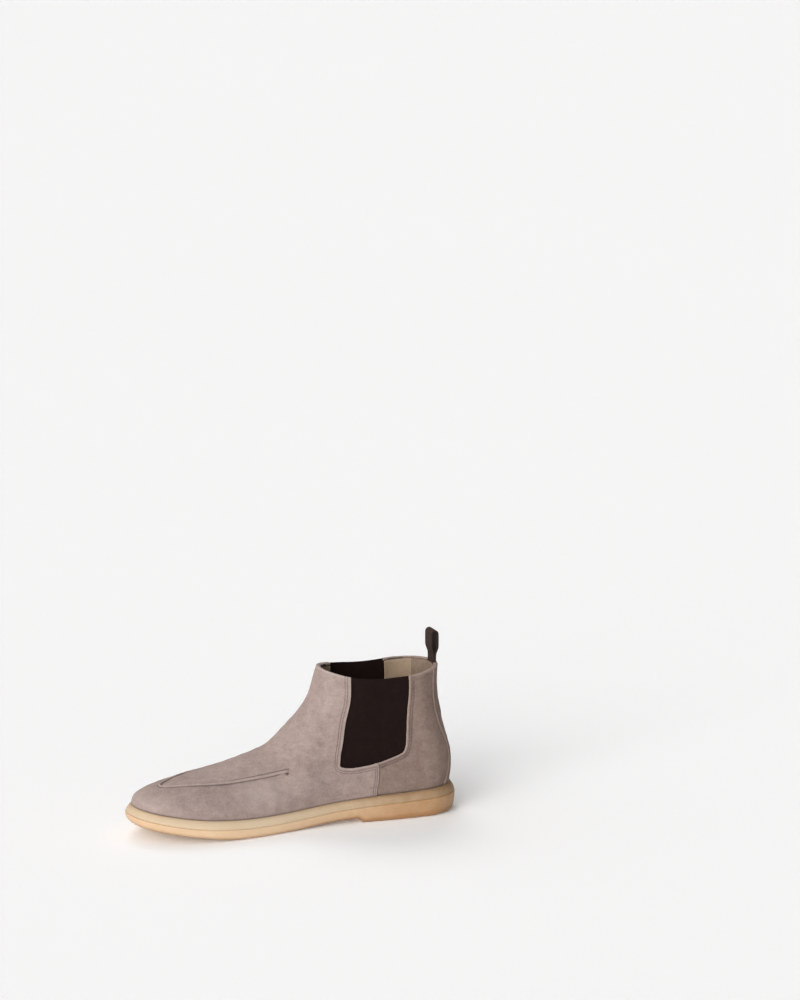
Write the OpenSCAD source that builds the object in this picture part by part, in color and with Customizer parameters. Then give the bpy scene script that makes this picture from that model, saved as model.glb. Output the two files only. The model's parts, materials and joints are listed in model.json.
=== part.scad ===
// Chelsea boot, right foot: suede upper with elastic gores on a two-band rubber sole.
// Millimetres. The toe points to -Y, +Z is up, the inner (medial) side is +X,
// and the origin is on the ground under the middle of the sole.

/* [Size] */
// Length of the sole, toe to heel
sole_length = 300; // [270:1:330]
// Width of the sole across the ball of the foot
sole_width = 104; // [94:1:112]
// Height of the boot at the front of the opening
boot_height = 134; // [124:1:150]

/* [Sole] */
// How far the sole stands out past the upper
sole_ledge = 5.2; // [4:0.1:7]
// Height of the pale upper band of the sole
band_height = 7.2; // [6:0.1:9]
// Depth of the groove between the two bands
groove_depth = 1.1; // [0.6:0.1:1.6]
// Height of the step in front of the heel
heel_step = 4; // [2:0.5:5]

/* [Upper] */
// Thickness of the suede
suede = 1.5; // [1.2:0.1:1.6]
// Thickness of the skived edge that lies under a lapped seam
skived = 1; // [0.8:0.1:1]
// Thickness of the elastic gore
gore_thick = 1.1; // [0.9:0.1:1.1]
// Thickness of the toe puff and of the heel counter
stiffener = 1.2; // [1:0.1:1.2]
// Thickness of the lining
lining = 1; // [0.8:0.1:1.2]
// Width of the margin that is lasted in under the insole board
lasting_margin = 12; // [10:1:15]
// Height of the pinched ridge round the apron
ridge_height = 1.5; // [1:0.1:2.5]
// Width of the pinched ridge round the apron
ridge_width = 2.8; // [2.5:0.1:4.5]
// Diameter of the sewing thread
thread = 0.5; // [0.4:0.1:0.8]

/* [Pull tab] */
// Width of the webbing
tab_width = 16; // [12:1:18]
// Thickness of the webbing
tab_webbing = 1.2; // [1:0.1:1.4]
// Height of the loop above the topline
tab_height = 27; // [22:1:35]
// Width of the gap inside the loop
tab_gap = 4.8; // [4.6:0.1:6]

/* [Hidden] */

// The last, as drawn below: its length and width at the feather line, and its height.
// Every list runs [place, value].
LAST_LENGTH = 288.6;
LAST_WIDTH = 93.3;
LAST_HEIGHT = 134;
// Half width and middle line of the sole along its length
SOLE_HALF = [[-150, 41], [-126, 43.5], [-105, 46.5], [-78, 50.5], [-54, 51.2], [-30, 48.8],
    [0, 43.5], [30, 39], [60, 37.3], [90, 37], [120, 35.5], [150, 34]];
SOLE_MIDDLE = [[-150, 7], [-120, 3.5], [-90, 0], [-60, -3], [-30, -5.2], [0, -6.3],
    [30, -5.5], [60, -3], [90, -1.2], [150, 0]];
// Height of the feather line, where the upper meets the sole
FEATHER = [[-150, 29.9], [-143.5, 28.3], [-126, 24.9], [-97, 20.4], [-76, 18.2], [-45, 16.5],
    [-7, 16.8], [39, 20.2], [70, 22.2], [106, 23.4], [131, 24.2], [150, 24.8]];
// Side profile of the toe, instep and front of the shaft, as [y, z]
FRONT = [[-143.5, 28.3], [-141.5, 31.4], [-139, 35], [-133.5, 38.6], [-123, 41.7], [-104, 45.3],
    [-83, 49.8], [-60, 55.4], [-39, 62.2], [-16, 72.5], [9, 96.7], [20.5, 112.5], [27, 134]];
// Side profile of the heel, as [z, y]
HEEL = [[20, 144.6], [25, 145.2], [34, 146.5], [41, 147], [48, 146.8], [56, 145.6], [64, 143.4],
    [74, 140.5], [88, 137], [100, 134.8], [115, 133.6], [134, 134.2]];
// Height of the topline from its front to its back
TOPLINE = [[27, 134], [48, 129.5], [73, 127], [100, 128], [134, 131]];
// Height of the ground side of the sole: toe spring, flat forefoot, waist and heel
TREAD = [[-150, 15.5], [-139, 12.3], [-123, 9.2], [-107, 6.6], [-89, 3.7], [-71, 1.1], [-55, 0],
    [-8, 0], [12, 1.4], [32, 3.2], [50, 4]];
HEEL_BREAST = [52, 58];

// Roundness of the upper along its length, and of the heel up its height
ROOF_RADIUS = [[-150, 22], [-110, 30], [-70, 40], [-30, 44], [0, 42], [30, 38], [60, 38]];
ROOF_POWER = [[-150, 2.5], [-100, 2.35], [-60, 2.1], [-20, 1.9], [10, 1.95], [40, 2], [60, 2]];
HEEL_RADIUS = [[20, 30], [50, 31], [90, 31], [134, 36]];
SHAFT_HALF = [[15, 31.5], [60, 32], [90, 33.5], [134, 35]];
SHAFT_MIDDLE = [[-150, 6], [-60, 1.5], [0, 0.5], [60, 0]];
TOE_RADIUS = 58;
TOE_POWER = 2.15;
SIDE_BULGE = 0.035;
BULGE_HEIGHT = 26;

// Seam lines, as [height, angle]. Height is 0 at the feather line and 1 at the topline.
// Angle is 0 at the toe and 180 at the back of the heel.
GORE_FRONT = [[0, 104], [0.2, 96.8], [0.41, 87.7], [0.62, 74.5], [0.83, 58.6], [1, 49]];
SEAM = [[0, 118.5], [0.15, 115], [0.32, 110], [1, 82]];
GORE_REAR = [[0, 131], [0.2, 127], [0.39, 123], [0.46, 122.8], [0.72, 116.8], [1, 109]];
STAY = [[0, 158], [0.15, 161], [0.26, 163], [0.36, 161], [0.48, 157], [0.65, 150], [1, 144]];
// Bottom edge of the gore and the line of the apron ridge, as [angle, height]
GORE_BOTTOM = [[87.7, 0.392], [95, 0.334], [103, 0.316], [111, 0.32], [117, 0.346], [123, 0.374]];
APRON = [[0, 0.138], [6, 0.176], [14, 0.221], [25, 0.262], [35, 0.296], [48, 0.362], [62, 0.432]];
SEAM_LAP = 4;

// The grid that every panel is cut from: steps between the seam lines, and rows up the boot
STEPS = [12, 1, 4, 1, 3, 1, 3, 1, 2];
C_FRONT_LAP = 12;
C_FRONT = 13;
C_SEAM = 17;
C_SEAM_RAMP = 18;
C_REAR = 21;
C_REAR_LAP = 22;
C_STAY = 25;
C_STAY_LAP = 26;
C_TAB = 27;
C_BACK = 28;
C_PUFF = 8;
LOW_ROWS = [0, 0.08, 0.17, 0.29, 0.42, 0.56, 0.7, 0.86, 1];
HIGH_ROWS = [0.14, 0.28, 0.42, 0.56, 0.69, 0.8, 0.93, 1];
R_MARGIN = 0;
R_FEATHER = 1;
R_PUFF = 5;
R_GORE_LAP = 8;
R_GORE = 9;
R_COUNTER = 11;
R_TAIL = 15;
R_COLLAR = 16;
R_TOP = 17;

// Depths of the layers under the outer surface
play = 0.1;
d_under = suede + play;
d_stiff = d_under + skived + play;
d_lining = d_stiff + stiffener + play;
d_inside = d_lining + lining;
LAP_DROP = 0.3;

// Heights of the layers under the foot, above the feather line
z_board = d_inside + 2 * play;
board = 2;
foam = 2;
sock = 1;
// How far the stack under the foot is set back at the toe, where the roof is low
board_setback = 3;
foot_setback = 10;
SETBACK_SPREAD = 80;
shank_thick = 1.4;
shank_width = 14;
SHANK_ENDS = [-30, 95];

// Steps in the smoothed curves; the ridge is finer, because the width is measured down from it
DENSE = 90;
RIDGE_STEPS = 450;
stretch = [(sole_width - 2 * sole_ledge) / LAST_WIDTH, (sole_length - 2 * sole_ledge) / LAST_LENGTH,
    boot_height / LAST_HEIGHT];

function mix(a, b, t) = a + (b - a) * t;
function limit(t) = max(0, min(1, t));
function ease(t) = limit(t) * limit(t) * (3 - 2 * limit(t));
function unit(v) = v / norm(v);

// Smooth curve through a list of points, read at x
function slope(t, i) = i == 0 ? (t[1][1] - t[0][1]) / (t[1][0] - t[0][0])
    : i == len(t) - 1 ? (t[i][1] - t[i - 1][1]) / (t[i][0] - t[i - 1][0])
    : (t[i + 1][1] - t[i - 1][1]) / (t[i + 1][0] - t[i - 1][0]);
function span(t, x, i = 0) = i >= len(t) - 2 || x < t[i + 1][0] ? i : span(t, x, i + 1);
function curve(t, x) =
    let (i = span(t, x), d = t[i + 1][0] - t[i][0], s = limit((x - t[i][0]) / d))
    (2 * s * s * s - 3 * s * s + 1) * t[i][1] + (s * s * s - 2 * s * s + s) * d * slope(t, i)
    + (3 * s * s - 2 * s * s * s) * t[i + 1][1] + (s * s * s - s * s) * d * slope(t, i + 1);
function smooth(t, n = DENSE) =
    [for (k = [0:n]) let (x = mix(t[0][0], t[len(t) - 1][0], k / n)) [x, curve(t, x)]];

// Circle-like rise from 0 to 1 as s goes from 0 to 1; a higher power is squarer
function cap(s, power = 2) = pow(max(0, 1 - pow(1 - limit(s), power)), 1 / power);

sole_half_line = smooth(SOLE_HALF);
sole_middle_line = smooth(SOLE_MIDDLE);
feather_line = smooth(FEATHER);
heel_line = smooth(HEEL);
topline_line = smooth(TOPLINE);
roof_radius_line = smooth(ROOF_RADIUS);
roof_power_line = smooth(ROOF_POWER);
heel_radius_line = smooth(HEEL_RADIUS);
shaft_half_line = smooth(SHAFT_HALF);
shaft_middle_line = smooth(SHAFT_MIDDLE);
gore_front_line = smooth(GORE_FRONT);
seam_line = smooth(SEAM);
gore_rear_line = smooth(GORE_REAR);
stay_line = smooth(STAY);
gore_bottom_line = smooth(GORE_BOTTOM);
apron_line = smooth(APRON);

// The front profile against its own length, from 0 at the toe to 1 at the topline
function run(k) = k == 0 ? 0 : run(k - 1) + norm(FRONT[k] - FRONT[k - 1]);
front_length = run(len(FRONT) - 1);
front_y_line = smooth([for (k = [0:len(FRONT) - 1]) [run(k) / front_length, FRONT[k][0]]], RIDGE_STEPS);
front_z_line = smooth([for (k = [0:len(FRONT) - 1]) [run(k) / front_length, FRONT[k][1]]], RIDGE_STEPS);
// Height of the ridge of the upper at y; it goes on up past the topline
RIDGE_RISE = 2.9;
ridge_line = concat(
    [for (k = [0:RIDGE_STEPS]) [front_y_line[k][1], front_z_line[k][1]]],
    [[FRONT[12][0] + 60, FRONT[12][1] + 60 * RIDGE_RISE]]);
heel_foot = 25;
heel_top = 131;

function feather(y) = lookup(y, feather_line);
function front_point(u) = [lookup(u, front_y_line), lookup(u, front_z_line)];
function heel_point(u) =
    let (z = mix(heel_foot, heel_top, u))
    [lookup(z, heel_line), z];
// Point of the side view at t (0 front, 1 back) and height u
function side_point(t, u) =
    let (p = mix(front_point(u), heel_point(u), t),
         foot = mix(front_point(0), heel_point(0), t),
         top = mix(front_point(1), heel_point(1), t))
    [p[0], p[1] + (1 - u) * (feather(foot[0]) - foot[1]) + u * (lookup(top[0], topline_line) - top[1])];

function half_width(y, z) =
    let (foot = feather(y),
         rise = max(lookup(y, ridge_line) - foot, 0.001),
         grade = (lookup(y + 0.75, ridge_line) - lookup(y - 0.75, ridge_line)) / 1.5,
         drop = 1 - limit((z - foot) / rise),
         s = drop * max(1, rise / sqrt(1 + grade * grade) / lookup(y, roof_radius_line)),
         width = mix(lookup(y, sole_half_line) - sole_ledge, lookup(z, shaft_half_line), ease((z - foot) / 60)),
         bulge = 1 + SIDE_BULGE * sin(180 * limit((z - foot) / BULGE_HEIGHT)))
    width * bulge * cap((y - FRONT[0][0]) / TOE_RADIUS, TOE_POWER) * cap(s, lookup(y, roof_power_line))
    * cap((lookup(z, heel_line) - y) / lookup(z, heel_radius_line));
function middle(y, z) =
    mix(lookup(y, sole_middle_line), lookup(y, shaft_middle_line), ease((z - feather(y)) / 70));

// Outer surface of the upper at an angle and a height
function skin(angle, u) =
    let (p = side_point((1 - cos(angle)) / 2, u))
    [(middle(p[0], p[1]) + sign(sin(angle)) * half_width(p[0], p[1])) * stretch[0],
     p[0] * stretch[1], p[1] * stretch[2]];
PROBE_ANGLE = 2;
PROBE_HEIGHT = 0.01;
function across(angle, u) = skin(angle + PROBE_ANGLE, u) - skin(angle - PROBE_ANGLE, u);
function upward(angle, u) = skin(angle, min(1, u + PROBE_HEIGHT)) - skin(angle, max(0, u - PROBE_HEIGHT));
function inward(angle, u) = unit(cross(upward(angle, u), across(angle, u)));

// Outline of the upper at the feather line, moved out by d
function outline_in(angle) =
    let (t = across(angle, 0))
    unit([-t[1], t[0], 0]);
function outline(angle, d) =
    let (p = skin(angle, 0))
    [p[0], p[1], 0] - d * outline_in(angle);

// A point at a depth under the skin. Near the feather line the layers turn in under the foot,
// each at its own height above the line's level at that place.
TURN_HEIGHT = 0.1;
function foot_height(y) = feather(y / stretch[1]) * stretch[2];
function layer(angle, u, depth) =
    let (turn = limit(1 - u / TURN_HEIGHT),
         n = u <= 0 ? outline_in(angle) : inward(angle, u),
         s = skin(angle, u),
         p = s + depth * n)
    p + [0, 0, turn * (depth + foot_height(p[1]) - foot_height(s[1]))];
function margin(angle, depth) =
    let (p = outline(angle, -lasting_margin))
    [p[0], p[1], foot_height(p[1]) + depth];

// Grid lines. Column 0 is the toe, C_BACK the back of the heel, and the lateral side is negative.
function key_angle(k, u) =
    k == 0 ? 0
    : k == 1 ? lookup(u, gore_front_line) - SEAM_LAP
    : k == 2 ? lookup(u, gore_front_line)
    : k == 3 ? lookup(u, seam_line)
    : k == 4 ? lookup(u, seam_line) + SEAM_LAP
    : k == 5 ? lookup(u, gore_rear_line)
    : k == 6 ? lookup(u, gore_rear_line) + SEAM_LAP
    : k == 7 ? lookup(u, stay_line)
    : k == 8 ? lookup(u, stay_line) + SEAM_LAP
    : 180;
function half_angle(c, u, k = 0) =
    c <= STEPS[k] || k == len(STEPS) - 1 ? mix(key_angle(k, u), key_angle(k + 1, u), c / STEPS[k])
    : half_angle(c - STEPS[k], u, k + 1);
function wrap(c) = c > C_BACK ? c - 2 * C_BACK : c;
function grid_angle(c, u) = sign(wrap(c)) * half_angle(abs(wrap(c)), u);
// Height of the gore's bottom edge, carried level to the front and to the back
function gore_foot(c) = lookup(half_angle(abs(wrap(c)), 0.37), gore_bottom_line);
function grid_height(r, c) =
    r <= R_GORE ? LOW_ROWS[r - R_FEATHER] * gore_foot(c)
    : mix(gore_foot(c), 1, HIGH_ROWS[r - R_GORE - 1]);
function grid_point(r, c, depth) =
    r == R_MARGIN ? margin(grid_angle(c, 0), depth)
    : let (u = grid_height(r, c)) layer(grid_angle(c, u), u, depth);

// A panel is a set of blocks of the grid, each [first row, last row, first column, last column].
// depths(r, c) gives the depths of its outer and inner faces.
function covered(blocks, r, c) =
    len([for (b = blocks) if (r >= b[0] && r < b[1] && c >= b[2] && c < b[3]) 1]) > 0;
function quad(a, b, c, d) = [[a, b, c], [a, c, d]];
module panel(blocks, depths) {
    r0 = min([for (b = blocks) b[0]]);
    r1 = max([for (b = blocks) b[1]]);
    c0 = min([for (b = blocks) b[2]]);
    c1 = max([for (b = blocks) b[3]]);
    wide = c1 - c0 + 1;
    sheet = (r1 - r0 + 1) * wide;
    points = [for (side = [0, 1]) for (r = [r0:r1]) for (c = [c0:c1]) grid_point(r, c, depths(r, c)[side])];
    at = function (r, c, side) side * sheet + (r - r0) * wide + c - c0;
    faces = [for (r = [r0:r1 - 1]) for (c = [c0:c1 - 1]) if (covered(blocks, r, c))
        each concat(
            quad(at(r, c, 0), at(r + 1, c, 0), at(r + 1, c + 1, 0), at(r, c + 1, 0)),
            quad(at(r, c, 1), at(r, c + 1, 1), at(r + 1, c + 1, 1), at(r + 1, c, 1)),
            covered(blocks, r - 1, c) ? [] : quad(at(r, c, 0), at(r, c + 1, 0), at(r, c + 1, 1), at(r, c, 1)),
            covered(blocks, r + 1, c) ? []
                : quad(at(r + 1, c, 0), at(r + 1, c, 1), at(r + 1, c + 1, 1), at(r + 1, c + 1, 0)),
            covered(blocks, r, c - 1) ? [] : quad(at(r, c, 0), at(r, c, 1), at(r + 1, c, 1), at(r + 1, c, 0)),
            covered(blocks, r, c + 1) ? []
                : quad(at(r, c + 1, 0), at(r + 1, c + 1, 0), at(r + 1, c + 1, 1), at(r, c + 1, 1)))];
    placed() polyhedron(points, faces);
}
EVEN = function (a, b) function (r, c) [a, b];
SUEDE = EVEN(0, suede);
STIFF = EVEN(d_stiff, d_stiff + stiffener);
LINING = EVEN(d_lining, d_inside);
// The gore's bottom edge is tucked deeper, under the quarter's skived edge
GORE = function (r, c) let (d = r <= R_GORE ? d_stiff : d_under) [d, d + gore_thick];
TAPE = EVEN(d_under, d_lining - play);
// The quarter is level with its neighbours in the middle and dips under them at both ends
QUARTER = function (r, c) let (a = abs(wrap(c)))
    a <= C_SEAM || a >= C_STAY ? [d_under, d_under + skived] : [LAP_DROP, suede];
// Blocks of one side, mirrored for the lateral side
function on_side(s, blocks) =
    [for (b = blocks) s > 0 ? b : [b[0], b[1], -b[3], -b[2]]];

// A loft through closed rings of the sole, set back at the toe; each ring is
// [distance out from the upper, height function]
RING = 108;
function ring_at(k) = 360 / RING * (k <= RING / 2 ? k : k - RING);
function ring_point(k, level, setback) =
    let (back = setback * ease(1 - abs(ring_at(k)) / SETBACK_SPREAD),
         p = outline(ring_at(k), level[0] - back))
    [p[0], p[1], level[1](p[1] / stretch[1]) * stretch[2]];
module loft(levels, setback = 0) {
    last = len(levels) - 1;
    half = RING / 2;
    points = [for (level = levels) for (k = [0:RING - 1]) ring_point(k, level, setback)];
    at = function (level, k) level * RING + (k + RING) % RING;
    sides = [for (n = [0:last - 1]) for (k = [0:RING - 1])
        each quad(at(n, k), at(n, k + 1), at(n + 1, k + 1), at(n + 1, k))];
    lids = [for (k = [0:half - 1]) for (n = [0, last]) each
        let (a = at(n, k), b = at(n, k + 1), c = at(n, -k - 1), d = at(n, -k),
             strip = a == d ? [[a, b, c]] : b == c ? [[a, b, d]] : quad(a, b, c, d))
        n == 0 ? [for (f = strip) [f[0], f[2], f[1]]] : strip];
    placed() polyhedron(points, concat(sides, lids));
}
ABOVE = function (h) function (y) feather(y) + h;
// Height of the tread, with a soft step at the heel breast
tread_line = smooth(TREAD);
function tread(y) =
    y < HEEL_BREAST[0] ? lookup(y, tread_line) * (y > 0 ? heel_step / 4 : 1)
    : heel_step * (1 - ease((y - HEEL_BREAST[0]) / (HEEL_BREAST[1] - HEEL_BREAST[0])));
// Height at a share of the lower band, from 0 at the tread to 1 under the groove
BAND = function (share) function (y) mix(tread(y), feather(y) - band_height, share);

// A bead laid along a path of [angle, height] points; profile is [across, out] and counter-clockwise
module bead(path, profile) {
    n = len(path);
    m = len(profile);
    spots = [for (p = path) skin(p[0], p[1])];
    points = [for (k = [0:n - 1])
        let (along = unit(spots[min(n - 1, k + 1)] - spots[max(0, k - 1)]),
             out = -inward(path[k][0], path[k][1]),
             side = unit(cross(along, out)))
        each [for (q = profile) spots[k] + q[0] * side + q[1] * unit(cross(side, along))]];
    walls = [for (k = [0:n - 2]) for (i = [0:m - 1])
        let (j = (i + 1) % m)
        each quad(k * m + i, k * m + j, (k + 1) * m + j, (k + 1) * m + i)];
    start = [for (i = [1:m - 2]) [0, i + 1, i]];
    finish = [for (i = [1:m - 2]) [(n - 1) * m, (n - 1) * m + i, (n - 1) * m + i + 1]];
    placed() polyhedron(points, concat(walls, start, finish));
}
LIFT = 0.3;
THREAD = [for (q = [[0, 0], [thread / 2, thread / 2], [0, thread], [-thread / 2, thread / 2]]) q + [0, LIFT]];
RIDGE_LIFT = 0.5;
HALF_ROUND = [for (a = [0:36:180]) [ridge_width / 2 * cos(a), ridge_height * sin(a) + RIDGE_LIFT]];
// Points along a seam line of [height, angle], from one height to another, moved by an angle
function seam_path(line, from, to, move, steps) =
    [for (k = [0:steps]) let (u = mix(from, to, k / steps)) [lookup(u, line) + move, u]];
function mirror_path(path) = [for (p = path) [-p[0], p[1]]];
module thread_on(s, path) bead(s > 0 ? path : mirror_path(path), THREAD);

// The outline of the upper side view is centred on the sole
sole_ring = [for (k = [0:RING - 1]) outline(ring_at(k), sole_ledge)];
middle_x = (max([for (p = sole_ring) p[0]]) + min([for (p = sole_ring) p[0]])) / 2;
middle_y = (max([for (p = sole_ring) p[1]]) + min([for (p = sole_ring) p[1]])) / 2;
module placed() translate([-middle_x, -middle_y, 0]) children();

module outsole() color("#d9b98f") loft([
    [sole_ledge - 7.5, BAND(0)], [sole_ledge - 3.2, BAND(0.05)], [sole_ledge - 1.2, BAND(0.25)],
    [sole_ledge - 0.2, BAND(0.55)], [sole_ledge, BAND(0.78)], [sole_ledge - 0.5, BAND(0.94)],
    [sole_ledge - 0.5 - groove_depth, BAND(1)]
]);

module midsole() color("#e3cfae") loft([
    [sole_ledge - 0.6 - groove_depth, ABOVE(0.05 - band_height)],
    [sole_ledge - 0.7, ABOVE(0.9 - band_height)],
    [sole_ledge - 1.6, ABOVE(-band_height / 2)],
    [sole_ledge - 3.6, ABOVE(-0.6)],
    [sole_ledge - 4.2, ABOVE(-play)]
]);

module bottom_filler() color("#8a6b4a") loft([
    [-lasting_margin - 0.5, ABOVE(0)], [-lasting_margin - 0.5, ABOVE(z_board - shank_thick - 2 * play)]
], board_setback);

module shank() color("silver") placed() {
    rows = 16;
    y_at = function (k) mix(SHANK_ENDS[0], SHANK_ENDS[1], k / rows);
    points = [for (k = [0:rows]) for (side = [-1, 1]) for (h = [0, shank_thick])
        let (y = y_at(k))
        [(lookup(y, sole_middle_line)) * stretch[0] + side * shank_width / 2, y * stretch[1],
         (feather(y) + z_board - play - shank_thick + h) * stretch[2]]];
    walls = [for (k = [0:rows - 1]) let (a = 4 * k, b = a + 4) each concat(
        quad(a, b, b + 1, a + 1), quad(a + 1, b + 1, b + 3, a + 3),
        quad(a + 3, b + 3, b + 2, a + 2), quad(a + 2, b + 2, b, a))];
    e = 4 * rows;
    polyhedron(points, concat(walls, quad(0, 1, 3, 2), quad(e, e + 2, e + 3, e + 1)));
}

module insole_board() color("tan") loft([
    [-d_inside - 2, ABOVE(z_board)], [-d_inside - 3, ABOVE(z_board + board)]
], board_setback);

module footbed_foam() color("#e8e2d0") loft([
    [-d_inside - 3, ABOVE(z_board + board + play)], [-d_inside - 4, ABOVE(z_board + board + foam)]
], foot_setback);

module sock_liner() color("#8d7f74") loft([
    [-d_inside - 3.3, ABOVE(z_board + board + foam + play)],
    [-d_inside - 3.7, ABOVE(z_board + board + foam + play + sock)]
], foot_setback);

module vamp() color("#a89790") panel([
    [R_MARGIN, R_GORE, -C_SEAM, C_SEAM], [R_GORE, R_TOP, -C_FRONT, C_FRONT]], SUEDE);

module quarter(s) color("#a39189") panel(on_side(s, [
    [R_MARGIN, R_GORE_LAP, C_SEAM - 1, C_STAY_LAP], [R_GORE_LAP, R_GORE, C_SEAM, C_STAY_LAP],
    [R_GORE, R_TOP, C_REAR, C_STAY_LAP]]), QUARTER);
module quarter_medial() quarter(1);
module quarter_lateral() quarter(-1);

module backstay() color("#a08e86") panel([[R_MARGIN, R_TOP, C_STAY, 2 * C_BACK - C_STAY]], SUEDE);

module gore(s) color("#2a1c1b") panel(on_side(s, [[R_GORE_LAP, R_TOP, C_FRONT_LAP, C_REAR_LAP]]), GORE);
module gore_medial() gore(1);
module gore_lateral() gore(-1);

module toe_puff() color("ivory") panel([[R_MARGIN, R_PUFF, -C_PUFF, C_PUFF]], STIFF);

module heel_counter() color("ivory") panel([
    [R_MARGIN, R_GORE_LAP, C_REAR_LAP, 2 * C_BACK - C_REAR_LAP],
    [R_GORE_LAP, R_COUNTER, C_REAR_LAP + 1, 2 * C_BACK - C_REAR_LAP - 1]], STIFF);

module vamp_lining() color("#b9a58c") panel([
    [R_MARGIN, R_GORE, -C_SEAM, C_SEAM], [R_GORE, R_TOP, -C_FRONT, C_FRONT]], LINING);

module quarter_lining(s) color("#b9a58c") panel(on_side(s, [
    [R_MARGIN, R_GORE, C_SEAM, C_STAY], [R_GORE, R_TOP, C_REAR, C_STAY]]), LINING);
module quarter_lining_medial() quarter_lining(1);
module quarter_lining_lateral() quarter_lining(-1);

module heel_grip() color("#a8937b") panel([[R_MARGIN, R_TOP, C_STAY, 2 * C_BACK - C_STAY]], LINING);

module front_collar_tape() color("#4a3c38") panel([[R_COLLAR, R_TOP, -C_FRONT_LAP, C_FRONT_LAP]], TAPE);

module collar_tape(s) color("#4a3c38") panel(on_side(s, [[R_COLLAR, R_TOP, C_REAR_LAP, C_STAY - 1]]), TAPE);
module collar_tape_medial() collar_tape(1);
module collar_tape_lateral() collar_tape(-1);

apron_path = [for (a = [-60:5:60]) [a, lookup(abs(a), apron_line)]];
module apron_ridge() color("#b3a29a") bead(apron_path, HALF_ROUND);
// The row of thread keeps about 3 mm below the ridge; the ridge climbs more at its ends
THREAD_DROP = [0.017, 0.046];
module apron_stitching() color("#8f7f78")
    bead([for (p = apron_path) [p[0], p[1] - mix(THREAD_DROP[0], THREAD_DROP[1], abs(p[0]) / 60)]], THREAD);

// Two rows of thread follow the gore's edges, from the topline down, along the bottom and up again
GORE_ROWS = [2.2, 4];
function gore_path(row) =
    let (low = row * 0.0085, n = 10)
    concat(
        seam_path(gore_front_line, 0.97, 0.392 - low, -row, n),
        [for (k = [1:n - 1]) let (a = mix(87.7, 123, k / n)) [a, lookup(a, gore_bottom_line) - low]],
        seam_path(gore_rear_line, 0.374 - low, 0.97, row, n));
module gore_stitching(s) color("#8f7f78") for (row = GORE_ROWS) thread_on(s, gore_path(row));
module gore_stitching_medial() gore_stitching(1);
module gore_stitching_lateral() gore_stitching(-1);

module side_seam_stitching() color("#8f7f78") for (s = [1, -1]) for (row = GORE_ROWS)
    thread_on(s, seam_path(seam_line, 0.02, 0.28, -row, 6));

module backstay_stitching() color("#8f7f78") for (s = [1, -1])
    thread_on(s, seam_path(stay_line, 0.03, 0.96, 2.5, 20));

COLLAR_STITCH = 0.965;
module collar_stitching() color("#8f7f78") {
    bead([for (a = [-45:5:45]) [a, COLLAR_STITCH]], THREAD);
    bead([for (a = [118:4:242]) [a > 180 ? a - 360 : a, COLLAR_STITCH]], THREAD);
}

module pull_tab_tail() color("#3a2c29") panel([[R_TAIL, R_TOP, C_TAB, 2 * C_BACK - C_TAB]], TAPE);

// The webbing loop stands on a hinge line just above the back of the topline
tab_axis = layer(180, 1, (d_under + d_lining - play) / 2) + [0, 0, 0.35 + tab_webbing];
TAB_NECK = 6;
module pull_tab() color("#3a2c29") placed() translate(tab_axis) rotate([90, 0, 90])
    translate([0, 0, -tab_width / 2]) linear_extrude(tab_width) difference() {
        union() {
            circle(r = tab_webbing, $fn = 32);
            translate([-tab_webbing, 0]) square([2 * tab_webbing, TAB_NECK + tab_gap]);
            tab_outline(tab_gap / 2 + tab_webbing);
        }
        tab_outline(tab_gap / 2);
    }
module tab_outline(r) {
    top = tab_height - tab_gap / 2 - tab_webbing;
    foot = TAB_NECK + tab_gap / 2 + tab_webbing;
    translate([0, foot]) circle(r = r, $fn = 48);
    translate([0, top]) circle(r = r, $fn = 48);
    translate([-r, foot]) square([2 * r, top - foot]);
}

outsole();
midsole();
bottom_filler();
shank();
insole_board();
footbed_foam();
sock_liner();
vamp();
quarter_medial();
quarter_lateral();
backstay();
gore_medial();
gore_lateral();
toe_puff();
heel_counter();
vamp_lining();
quarter_lining_medial();
quarter_lining_lateral();
heel_grip();
front_collar_tape();
collar_tape_medial();
collar_tape_lateral();
apron_ridge();
apron_stitching();
gore_stitching_medial();
gore_stitching_lateral();
side_seam_stitching();
backstay_stitching();
collar_stitching();
pull_tab_tail();
pull_tab();
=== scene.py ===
# Looks of the chelsea boot: every visible piece is built here over the CAD frame, in the same place and size.
# Lengths are millimetres until a mesh is made. Angles run round the boot: 0 at the toe, pi at the back of the
# heel, negative on the outer side. Heights run from 0 at the feather line to 1 at the topline.
import functools
import json
import math

import bpy
import numpy as np
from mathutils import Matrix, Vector


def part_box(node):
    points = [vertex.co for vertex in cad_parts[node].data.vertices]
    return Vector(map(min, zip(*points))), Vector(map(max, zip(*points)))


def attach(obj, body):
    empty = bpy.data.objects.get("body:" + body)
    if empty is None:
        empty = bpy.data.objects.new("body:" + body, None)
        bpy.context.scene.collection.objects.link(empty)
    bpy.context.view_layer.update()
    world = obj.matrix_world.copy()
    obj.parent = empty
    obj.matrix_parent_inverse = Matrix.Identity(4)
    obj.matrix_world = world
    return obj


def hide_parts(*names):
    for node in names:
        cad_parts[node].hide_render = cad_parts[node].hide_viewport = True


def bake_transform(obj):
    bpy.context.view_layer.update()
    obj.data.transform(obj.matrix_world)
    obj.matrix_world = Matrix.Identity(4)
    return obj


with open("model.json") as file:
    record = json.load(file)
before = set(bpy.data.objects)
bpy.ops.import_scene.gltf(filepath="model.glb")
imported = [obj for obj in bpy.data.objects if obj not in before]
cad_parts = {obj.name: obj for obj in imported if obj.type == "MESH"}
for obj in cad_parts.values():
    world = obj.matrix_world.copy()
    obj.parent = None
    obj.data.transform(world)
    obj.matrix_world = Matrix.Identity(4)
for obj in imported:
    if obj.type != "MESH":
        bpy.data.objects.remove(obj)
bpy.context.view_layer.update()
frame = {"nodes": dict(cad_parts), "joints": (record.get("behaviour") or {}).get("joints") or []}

MM = 0.001
SEED = 7


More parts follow.
